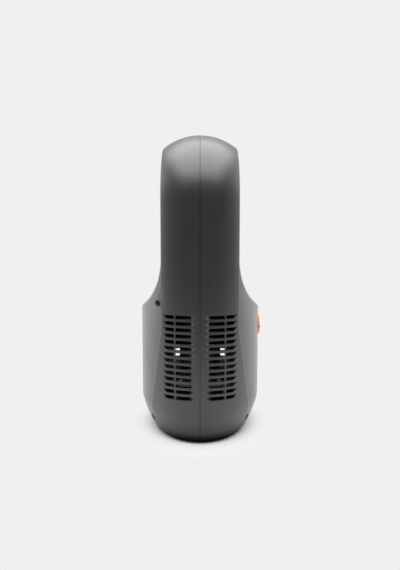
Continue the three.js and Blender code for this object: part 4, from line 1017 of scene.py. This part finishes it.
def group(name, inputs, outputs):
    """An empty node group with the named sockets, and its two ends."""
    made = bpy.data.node_groups.new(name, "ShaderNodeTree")
    for socket, kind, value in inputs:
        made.interface.new_socket(socket, in_out="INPUT", socket_type=kind).default_value = value
    for socket, kind in outputs:
        made.interface.new_socket(socket, in_out="OUTPUT", socket_type=kind)
    return made, made.nodes.new("NodeGroupInput"), made.nodes.new("NodeGroupOutput")


def noise(tree, place, scale, detail=3.0, rough=0.55):
    made = tree.nodes.new("ShaderNodeTexNoise")
    made.inputs["Scale"].default_value = scale
    made.inputs["Detail"].default_value = detail
    made.inputs["Roughness"].default_value = rough
    tree.links.new(place, made.inputs["Vector"])
    return made.outputs["Fac"]


def maths(tree, operation, a, b, clamp=False):
    made = tree.nodes.new("ShaderNodeMath")
    made.operation = operation
    made.use_clamp = clamp
    for socket, value in zip(made.inputs, (a, b)):
        if isinstance(value, (int, float)):
            socket.default_value = value
        else:
            tree.links.new(value, socket)
    return made.outputs[0]


def remap(tree, value, low, high, to_low, to_high):
    made = tree.nodes.new("ShaderNodeMapRange")
    tree.links.new(value, made.inputs["Value"])
    for socket, number in zip(made.inputs[1:5], (low, high, to_low, to_high)):
        if isinstance(number, (int, float)):
            socket.default_value = number
        else:
            tree.links.new(number, socket)
    return made.outputs[0]


def scaled(tree, vector, factor):
    made = tree.nodes.new("ShaderNodeVectorMath")
    made.operation = "SCALE"
    tree.links.new(vector, made.inputs[0])
    tree.links.new(factor, made.inputs["Scale"])
    return made.outputs[0]


def blended(tree, share, first, second):
    """A colour that goes by a share from the first to a second one that is the same all over."""
    made = tree.nodes.new("ShaderNodeMix")
    made.data_type = "RGBA"
    tree.links.new(share, made.inputs["Factor"])
    tree.links.new(first, made.inputs[6])
    made.inputs[7].default_value = second
    return made.outputs[2]


PAINTED_LIGHT_GAIN = 5.0  # how much lighter a painted highlight is, and how much darker painted shade
DUST_COLOUR = (0.42, 0.41, 0.39, 1)
TARNISH_COLOUR = (0.12, 0.10, 0.085, 1)
SURFACE = [
    ("Colour", "NodeSocketColor"),
    ("Roughness", "NodeSocketFloat"),
    ("Height", "NodeSocketFloat"),
]

# Scales of the patterns: the larger the finer
FINE_GRAIN = 1600
COARSE_GRAIN = 620
SPECKS = 900
CLOUDS = 26
DUST_PATCHES = 190
SMEARS = 60
STREAKS = 420
STAINS = 160


def moulded_group():
    """Moulded plastic: a fine spark-eroded grain as height, faint cloudy mottling of the colour,
    painted highlights on edges and painted shade in gaps, recesses and inside, from each point's
    painted light value, and dust that dulls what faces upwards."""
    tree, start, end = group(
        "moulded_plastic",
        [
            ("Colour", "NodeSocketColor", (0.05, 0.05, 0.05, 1)),
            ("Roughness", "NodeSocketFloat", 0.45),
            ("Grain Scale", "NodeSocketFloat", 1.0),
            ("Mottling", "NodeSocketFloat", 0.06),
            ("Dust", "NodeSocketFloat", 0.05),
        ],
        SURFACE,
    )
    place = tree.nodes.new("ShaderNodeTexCoord").outputs["Object"]
    grained = scaled(tree, place, start.outputs["Grain Scale"])
    fine = maths(tree, "MULTIPLY", noise(tree, grained, FINE_GRAIN, 2.0), 0.6)
    coarse = maths(tree, "MULTIPLY", noise(tree, grained, COARSE_GRAIN, 2.0), 0.4)
    height = maths(tree, "ADD", fine, coarse)
    cloud = noise(tree, place, CLOUDS, 4.0, 0.6)
    speck = noise(tree, place, SPECKS, 1.0)
    mottling = start.outputs["Mottling"]
    spread = maths(tree, "MULTIPLY", maths(tree, "SUBTRACT", cloud, 0.5), mottling)
    fleck = maths(tree, "MULTIPLY", maths(tree, "SUBTRACT", speck, 0.5), mottling)
    both = maths(tree, "MULTIPLY", maths(tree, "ADD", spread, fleck), 2.0)
    varied = scaled(tree, start.outputs["Colour"], maths(tree, "ADD", both, 1.0))
    up = tree.nodes.new("ShaderNodeSeparateXYZ")
    tree.links.new(tree.nodes.new("ShaderNodeNewGeometry").outputs["Normal"], up.inputs[0])
    lying = remap(tree, up.outputs["Z"], 0.45, 1.0, 0.0, 1.0)
    patch = remap(tree, noise(tree, place, DUST_PATCHES, 5.0, 0.7), 0.42, 0.75, 0.0, 1.0)
    settled = maths(tree, "MULTIPLY", lying, patch)
    dust = maths(tree, "MULTIPLY", settled, start.outputs["Dust"], True)
    # Painted light from the points: lighter for a painted highlight on edges, darker for painted
    # shade in gaps, recesses and inside; painted shade is also rougher and gathers less dust
    painted_light_node = tree.nodes.new("ShaderNodeAttribute")
    painted_light_node.attribute_name = "painted_light"
    painted_light_value = maths(tree, "MULTIPLY", painted_light_node.outputs["Fac"], remap(tree, cloud, 0.3, 0.7, 0.7, 1.0))
    outside_painted_shade = maths(tree, "ADD", painted_light_value, 1.0, True)
    dust = maths(tree, "MULTIPLY", dust, outside_painted_shade)
    with_painted_light = scaled(tree, varied, maths(tree, "POWER", PAINTED_LIGHT_GAIN, painted_light_value))
    dusty = blended(tree, dust, with_painted_light, DUST_COLOUR)
    smear = maths(tree, "SUBTRACT", noise(tree, place, SMEARS, 3.0), 0.5)
    smear = maths(tree, "MULTIPLY", smear, 0.12)
    rough = maths(tree, "ADD", start.outputs["Roughness"], smear)
    rough = maths(tree, "ADD", rough, maths(tree, "MULTIPLY", dust, 0.4))
    rough = maths(tree, "ADD", rough, remap(tree, painted_light_value, -1.0, -0.5, 0.5, 0.0), True)
    tree.links.new(dusty, end.inputs["Colour"])
    tree.links.new(rough, end.inputs["Roughness"])
    tree.links.new(height, end.inputs["Height"])
    return tree


def brushed_group():
    """Turned or drawn metal: fine streaks of roughness and height, and a faint tarnish."""
    tree, start, end = group(
        "worked_metal",
        [
            ("Colour", "NodeSocketColor", (0.5, 0.5, 0.5, 1)),
            ("Roughness", "NodeSocketFloat", 0.35),
            ("Tarnish", "NodeSocketFloat", 0.25),
        ],
        SURFACE,
    )
    place = tree.nodes.new("ShaderNodeTexCoord").outputs["Object"]
    drawn = tree.nodes.new("ShaderNodeMapping")
    drawn.inputs["Scale"].default_value = (1.0, 1.0, 9.0)
    tree.links.new(place, drawn.inputs["Vector"])
    streak = noise(tree, drawn.outputs[0], STREAKS, 3.0)
    patches = noise(tree, place, STAINS, 4.0)
    stain = remap(tree, patches, 0.4, 0.75, 0.0, start.outputs["Tarnish"])
    tarnished = blended(tree, stain, start.outputs["Colour"], TARNISH_COLOUR)
    shift = maths(tree, "MULTIPLY", maths(tree, "SUBTRACT", streak, 0.5), 0.3)
    rough = maths(tree, "ADD", start.outputs["Roughness"], shift, True)
    tree.links.new(tarnished, end.inputs["Colour"])
    tree.links.new(rough, end.inputs["Roughness"])
    tree.links.new(streak, end.inputs["Height"])
    return tree


def finish(name, effect, colour, roughness, bump, metallic=0.0, depth=0.00002, gloss=0.5, **values):
    """A material: the effect's colour, roughness and height into a principled shader."""
    made = bpy.data.materials.new(name)
    made.use_nodes = True
    tree = made.node_tree
    shader = tree.nodes["Principled BSDF"]
    shader.inputs["Metallic"].default_value = metallic
    shader.inputs["Specular IOR Level"].default_value = gloss
    placed = tree.nodes.new("ShaderNodeGroup")
    placed.node_tree = effect
    placed.inputs["Colour"].default_value = (*colour, 1)
    placed.inputs["Roughness"].default_value = roughness
    for socket, value in values.items():
        placed.inputs[socket.replace("_", " ")].default_value = value
    tree.links.new(placed.outputs["Colour"], shader.inputs["Base Color"])
    tree.links.new(placed.outputs["Roughness"], shader.inputs["Roughness"])
    raised = tree.nodes.new("ShaderNodeBump")
    raised.inputs["Strength"].default_value = bump
    raised.inputs["Distance"].default_value = depth
    tree.links.new(placed.outputs["Height"], raised.inputs["Height"])
    tree.links.new(raised.outputs["Normal"], shader.inputs["Normal"])
    return made


MOULDED = moulded_group()
WORKED = brushed_group()
CASING = finish("casing_grey", MOULDED, (0.0165, 0.0165, 0.0168), 0.38, 0.5, gloss=0.95)
RING = finish("ring_grey", MOULDED, (0.016, 0.016, 0.0163), 0.42, 0.5, gloss=0.8)
POD = finish("pod_grey", MOULDED, (0.2, 0.2, 0.203), 0.8, 0.5, gloss=0.15, Dust=0.0)
INNER = finish("inner_black", MOULDED, (0.007, 0.007, 0.0072), 0.6, 0.5, gloss=0.3)
ORANGE = finish("dial_orange", MOULDED, (0.87, 0.33, 0.06), 0.4, 0.3, Dust=0.02)
MARKED = finish("mark_dark", MOULDED, (0.02, 0.013, 0.01), 0.5, 0.4)
BUTTON = finish("button_grey", MOULDED, (0.42, 0.38, 0.33), 0.42, 0.3, Dust=0.02)
RUBBER = finish("foot_rubber", MOULDED, (0.011, 0.011, 0.012), 0.85, 0.8, Grain_Scale=0.7)
LEAD = finish("lead_rubber", MOULDED, (0.015, 0.015, 0.016), 0.6, 0.4, Grain_Scale=0.5)
BOARD = finish("board_green", MOULDED, (0.014, 0.07, 0.035), 0.4, 0.3, Mottling=0.15)
CELL = finish("cell_wrap", MOULDED, (0.02, 0.035, 0.06), 0.35, 0.2, Grain_Scale=0.4)
FOAM = finish("gasket_foam", MOULDED, (0.02, 0.02, 0.021), 0.95, 1.0, depth=0.0002, Grain_Scale=0.6)
STEEL = finish("steel", WORKED, (0.56, 0.57, 0.58), 0.34, 0.3, metallic=1.0)
SCREW = finish("screw_steel", WORKED, (0.008, 0.008, 0.0084), 0.6, 0.3, gloss=0.15, Tarnish=0.05)
COPPER = finish("winding_copper", WORKED, (0.62, 0.27, 0.12), 0.4, 0.6, metallic=1.0)

# ---- Pieces ------------------------------------------------------------------------------------

points, faces, painted_light = front_half()
front = piece("casing_front", points, faces, "body", CASING, painted_light=painted_light)
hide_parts("front_shell")
even_shading(front)
points, faces, painted_light = rear_half()
rear = piece("casing_rear", points, faces, "body", CASING, painted_light=painted_light)
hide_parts("rear_shell")
even_shading(rear)

points, faces = nozzle_form()
ring = piece("hoop_ring", points, faces, "body", RING)
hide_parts("nozzle_ring")

# Dial with its mark let into a groove
points, faces = dial_form()
dial = piece("turned_dial", level(points, 1, 0, DIAL_Z), faces, "dial", ORANGE)
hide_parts("speed_dial")
face = BASE_HALF_DEPTH + DIAL_PROUD
groove = mark_outline(MARK_GAP, 2.0)
floor = face - MARK_DEPTH - MARK_GAP
bore = cylinder(SPINDLE_RADIUS + 0.05, 0, BASE_HALF_DEPTH)
groove_points, groove_faces = stacked(groove, [(floor, 0), (face + 2, 0)])
cut_by(
    dial,
    (level(groove_points, 1, 0, DIAL_Z), groove_faces),
    (level(bore[0], 1, 0, DIAL_Z), bore[1]),
)
top = face - MARK_GAP
levels = [(face - MARK_DEPTH, 0), (top - 0.25, 0), (top - 0.07, 0.07), (top, 0.25)]
points, faces = stacked(mark_outline(0, -0.02), levels)
mark = piece("dial_inlay", level(points, 1, 0, DIAL_Z), faces, "dial", MARKED)
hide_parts("dial_mark")

points, faces = button_form()
place = level(points, 1, 0, BUTTON_Z)
button = piece("press_button", place, faces, "button", BUTTON)
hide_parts("power_button")

# Screws in the wells, with their heads on the wells' floors
for i, y in enumerate((-UPPER_WELL_Y, UPPER_WELL_Y)):
    points, faces = screw_form(UPPER_FLOOR + UPPER_BITE - SEAT_GAP)
    points[:, 2] += UPPER_FLOOR + SEAT_GAP
    place = level(points, -1, y, UPPER_WELL_Z)
    made = piece(f"casing_screw_{i + 1}", place, faces, "body", SCREW)
    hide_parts(f"upper_screw_{i + 1}")
corners = ((1, -1), (1, 1), (-1, -1), (-1, 1))
for i, (side, hand) in enumerate(corners):
    points, faces = screw_form(LOWER_FLOOR - LOWER_BOSS_END + LOWER_BITE - SEAT_GAP)
    points[:, 2] += LOWER_FLOOR + SEAT_GAP
    place = level(points, side, hand * LOWER_WELL_Y, LOWER_WELL_Z)
    made = piece(f"casing_screw_{i + 3}", place, faces, "body", SCREW)
    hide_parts(f"lower_screw_{i + 1}")

# Underside: plate, its screws and the feet
feet = [f"foot_{i + 1}" for i in range(4)]
for name in feet:
    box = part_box(name)
    points, faces = foot_form(in_millimetres(box)[1].z)
    place = upright(points, *middle_of(box))
    made = piece(f"rubber_{name}", place, faces, "body", RUBBER)
    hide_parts(name)
low, high = in_millimetres(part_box("base_plate"))
under, top = low.z, high.z - 1
outline = plan_outline(under, WALL + SEAT_GAP)
points, faces = stacked(outline, [(under, 0.3), (under + 0.09, 0.09), (under + 0.3, 0), (top, 0)])
plate = piece("bottom_plate", points, faces, "body", INNER)
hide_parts("base_plate")
tools = []
for i, name in enumerate(feet):
    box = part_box(name)
    points, faces = cylinder(FOOT_POCKET, 0, in_millimetres(box)[1].z + SEAT_GAP)
    tools.append((upright(points, *middle_of(box)), faces))
    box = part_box(f"base_screw_{i + 1}")
    end = in_millimetres(box)[1].z
    x, y = middle_of(box)
    points, faces = cylinder(HEAD_POCKET, 0, POCKET_DEPTH, 32)
    tools.append((upright(points, x, y), faces))
    points, faces = cylinder(SCREW_HOLE, 2, 9, 32)
    tools.append((upright(points, x, y), faces))
    points, faces = screw_form(end - PLATE_SCREW_SEAT, PLATE_HEAD_HEIGHT)
    points[:, 1:] *= -1
    place = upright(points, x, y, PLATE_SCREW_SEAT)
    made = piece(f"plate_fastener_{i + 1}", place, faces, "body", SCREW)
    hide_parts(f"base_screw_{i + 1}")
cut_by(plate, *tools)

# Motor pod and its plate, seen through the slots
low, high = in_millimetres(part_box("motor_cradle"))
bottom, pod_top = low.z, high.z
reach = (high.y - low.y) / 2
plate_top = bottom + POD_PLATE
turn = np.linspace(math.pi / 2, math.pi, 9)
middle = (POD_NECK + POD_FILLET, bottom + (POD_PLATE + POD_FILLET))
fillet = [
    (middle[0] + POD_FILLET * math.cos(a), middle[1] - POD_FILLET * math.sin(a)) for a in turn
]
seat = bottom + POD_SEAT_RISE
profile = [
    (BEARING_BORE, bottom), (reach - 0.3, bottom), (reach, bottom + 0.3), (reach, bottom + 2.7),
    (reach - 0.3, plate_top), *fillet, (POD_RADIUS, pod_top - 3.5), (POD_NECK, pod_top - 1.4),
    (POD_NECK, pod_top - 0.4), (POD_NECK - 0.4, pod_top), (POD_INSIDE, pod_top),
    (POD_INSIDE, seat), (POD_SEAT, seat), (POD_SEAT, plate_top), (BEARING_BORE, plate_top),
]
points, faces, index = turned(profile, 128)
faces += quads(np.stack([index[-1], index[0]]), wrap=True).tolist()
pod = piece("motor_pod", points, faces, "body", POD)
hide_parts("motor_cradle")
tools = []
for i in range(4):
    points, faces = cylinder(SCREW_HOLE, bottom - 1, bottom + 5, 32)
    x, y = middle_of(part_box(f"plate_screw_{i + 1}"))
    tools.append((upright(points, x, y), faces))
notch = stadium(3.5, 3.5) + [reach, 0]
tools.append(stacked(notch, [(bottom - 1, 0), (bottom + 5, 0)]))
cut_by(pod, *tools)

low, high = in_millimetres(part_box("pod_cap"))
dome = [
    (
        BEARING_BORE + (POD_NECK - BEARING_BORE) * math.cos(a),
        low.z + (high.z - low.z) * math.sin(a),
    )
    for a in np.linspace(0, math.pi / 2, 13)
]
profile = [*dome, (SHAFT_HOLE, high.z), (SHAFT_HOLE, low.z + 7), (BEARING_BORE, low.z + 7)]
profile += [(POD_SEAT, low.z + 4.5), (POD_INSIDE, low.z)]
points, faces, index = turned(profile, 128)
faces += quads(np.stack([index[-1], index[0]]), wrap=True).tolist()
cap = piece("motor_cap", points, faces, "body", POD)
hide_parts("pod_cap")

# Every other node keeps its form and gets its finish
FINISHES = {
    INNER: ["chassis", "impeller", "impeller_duct", "diffuser", "encoder_body", "tact_switch"],
    CELL: [f"battery_cell_{i + 1}" for i in range(4)],
    COPPER: ["motor_stator"],
    STEEL: ["rotor_core", "motor_shaft", "lower_bearing", "upper_bearing", "hub_nut"]
    + ["encoder_spindle", "inlet_socket", "board_screw_1", "board_screw_2"]
    + [f"plate_screw_{i + 1}" for i in range(4)],
    BOARD: ["control_board", "charge_board"],
    FOAM: ["duct_gasket"],
    LEAD: ["motor_lead", "battery_lead"],
}
for material, names in FINISHES.items():
    for name in names:
        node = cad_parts[name]
        node.data.materials.clear()
        node.data.materials.append(material)

# ---- Camera, floor and light -------------------------------------------------------------------

LENS = 42.03
LOOK_DOWN = 4.75  # degrees

camera = bpy.data.objects.new("camera", bpy.data.cameras.new("camera"))
bpy.context.scene.collection.objects.link(camera)
camera.data.sensor_fit = "HORIZONTAL"
camera.data.sensor_width = 36
camera.data.lens = LENS
camera.location = (SEAM - 0.00011, -0.547, 0.2055)
camera.rotation_euler = (math.radians(90 - LOOK_DOWN), 0, 0)
bpy.context.scene.camera = camera

PALE = 0.87  # how bright the floor far out and the background are
FLOOR_COLOUR = 0.555
FOOTPRINT = (0.055, 0.074)  # half sizes of the fan's base on the floor, in metres
SHADOW_FROM = 0.95  # where the pale ground begins to cover its shadow, in those half sizes
SHADOW_REACH = 1.5  # and where it has covered it
FLOOR_PAINTED_BOUNCE = 1.6  # how bright the fan sees it, a glow painted in for light bounced from the floor
FLOOR_PAINTED_SHADOW = (0.043, 0.074)  # half sizes of the painted shadow under the fan, where the floor gives no light
FLOOR_PAINTED_SHADOW_EDGE = (1.12, 1.85)  # between these half sizes the painted shadow gives way to the glow
FLOOR_PAINTED_FADE = (-0.8, 0.1)  # and between these places the glow fades, a painted dimming towards the camera's side
ROOM = 0.13  # how bright the room is on the side the picture is taken from
ROOM_DIM = (-0.45, 0.2)  # the room dims between these values of a direction's y


def length_in(tree, place, half_sizes):
    """Length of a place on the floor, measured in half sizes along x and y."""
    shrunk = tree.nodes.new("ShaderNodeMapping")
    shrunk.inputs["Scale"].default_value = (1 / half_sizes[0], 1 / half_sizes[1], 0)
    tree.links.new(place, shrunk.inputs["Vector"])
    made = tree.nodes.new("ShaderNodeVectorMath")
    made.operation = "LENGTH"
    tree.links.new(shrunk.outputs[0], made.inputs[0])
    return made.outputs["Value"]


def floor_material():
    """The camera sees a floor that is matt beside the fan, so that it takes the shadow, and plain
    pale light further out, mixed by the length of the place measured in the footprint's half sizes.
    The fan sees a floor that glows in place of bounced light, with a painted shadow right beside it
    and painted dimming towards the camera's side."""
    made = bpy.data.materials.new("studio_floor")
    made.use_nodes = True
    tree = made.node_tree
    tree.nodes.clear()
    place = tree.nodes.new("ShaderNodeTexCoord").outputs["Object"]
    far = remap(tree, length_in(tree, place, FOOTPRINT), SHADOW_FROM, SHADOW_REACH, 0.0, 1.0)
    towards = tree.nodes.new("ShaderNodeSeparateXYZ")
    tree.links.new(place, towards.inputs[0])
    lit = remap(tree, towards.outputs["Y"], *FLOOR_PAINTED_FADE, ROOM, FLOOR_PAINTED_BOUNCE)
    # Painted shadow: the glow is taken away under and right beside the fan, not cast by the lamps
    outside = remap(tree, length_in(tree, place, FLOOR_PAINTED_SHADOW), *FLOOR_PAINTED_SHADOW_EDGE, 0.0, 1.0)
    lit = maths(tree, "MULTIPLY", lit, outside)
    seen = tree.nodes.new("ShaderNodeLightPath").outputs["Is Camera Ray"]
    glow = tree.nodes.new("ShaderNodeEmission")
    tree.links.new(remap(tree, seen, 0.0, 1.0, lit, PALE), glow.inputs["Strength"])
    far = maths(tree, "MAXIMUM", far, maths(tree, "SUBTRACT", 1.0, seen))
    matt = tree.nodes.new("ShaderNodeBsdfDiffuse")
    matt.inputs["Color"].default_value = (FLOOR_COLOUR, FLOOR_COLOUR, FLOOR_COLOUR, 1)
    mixed = tree.nodes.new("ShaderNodeMixShader")
    tree.links.new(far, mixed.inputs[0])
    tree.links.new(matt.outputs[0], mixed.inputs[1])
    tree.links.new(glow.outputs[0], mixed.inputs[2])
    tree.links.new(mixed.outputs[0], tree.nodes.new("ShaderNodeOutputMaterial").inputs[0])
    return made


def pale_floor(half):
    mesh = bpy.data.meshes.new("floor")
    corners = [(-half, -half, 0), (half, -half, 0), (half, half, 0), (-half, half, 0)]
    mesh.from_pydata(corners, [], [(0, 1, 2, 3)])
    mesh.materials.append(floor_material())
    made = bpy.data.objects.new("floor", mesh)
    bpy.context.scene.collection.objects.link(made)


def soft_box(name, place, width, height, radiance):
    """A rectangular area light that looks at the fan and that the camera does not see."""
    data = bpy.data.lights.new(name, "AREA")
    data.shape = "RECTANGLE"
    data.size = width
    data.size_y = height
    data.energy = radiance * math.pi * width * height
    made = bpy.data.objects.new(name, data)
    bpy.context.scene.collection.objects.link(made)
    made.location = place
    aim = Vector((0, 0, 0.16)) - Vector(place)
    made.rotation_euler = aim.to_track_quat("-Z", "Y").to_euler()
    made.visible_camera = False


def studio_world():
    """The camera sees the pale background all round. The room that lights the fan, and that glossy
    and clear surfaces see, is as pale behind and beside it and dims towards the camera's side."""
    world = bpy.data.worlds.new("studio")
    bpy.context.scene.world = world
    world.use_nodes = True
    tree = world.node_tree
    tree.nodes.clear()
    direction = tree.nodes.new("ShaderNodeSeparateXYZ")
    place = tree.nodes.new("ShaderNodeTexCoord").outputs["Generated"]
    tree.links.new(place, direction.inputs[0])
    behind = remap(tree, direction.outputs["Y"], *ROOM_DIM, 0.0, 1.0)
    path = tree.nodes.new("ShaderNodeLightPath")
    glossy, clear = path.outputs["Is Glossy Ray"], path.outputs["Is Transmission Ray"]
    bright = maths(tree, "MULTIPLY", maths(tree, "MAXIMUM", glossy, clear), behind)
    seen = maths(tree, "MAXIMUM", path.outputs["Is Camera Ray"], bright)
    lit = remap(tree, behind, 0.0, 1.0, ROOM, PALE)
    level = remap(tree, seen, 0.0, 1.0, lit, PALE)
    background = tree.nodes.new("ShaderNodeBackground")
    tree.links.new(level, background.inputs["Strength"])
    background.inputs["Color"].default_value = (1, 1, 1, 1)
    tree.links.new(background.outputs[0], tree.nodes.new("ShaderNodeOutputWorld").inputs[0])


pale_floor(6.0)
soft_box("overhead", (0, -0.2, 1.7), 2.3, 2.5, 3.9)
soft_box("left", (-1.8, 0.7, 0.7), 2.2, 1.6, 2.2)
soft_box("right", (1.8, 0.7, 0.7), 2.2, 1.6, 2.2)
studio_world()

bpy.context.scene.view_settings.view_transform = "Standard"
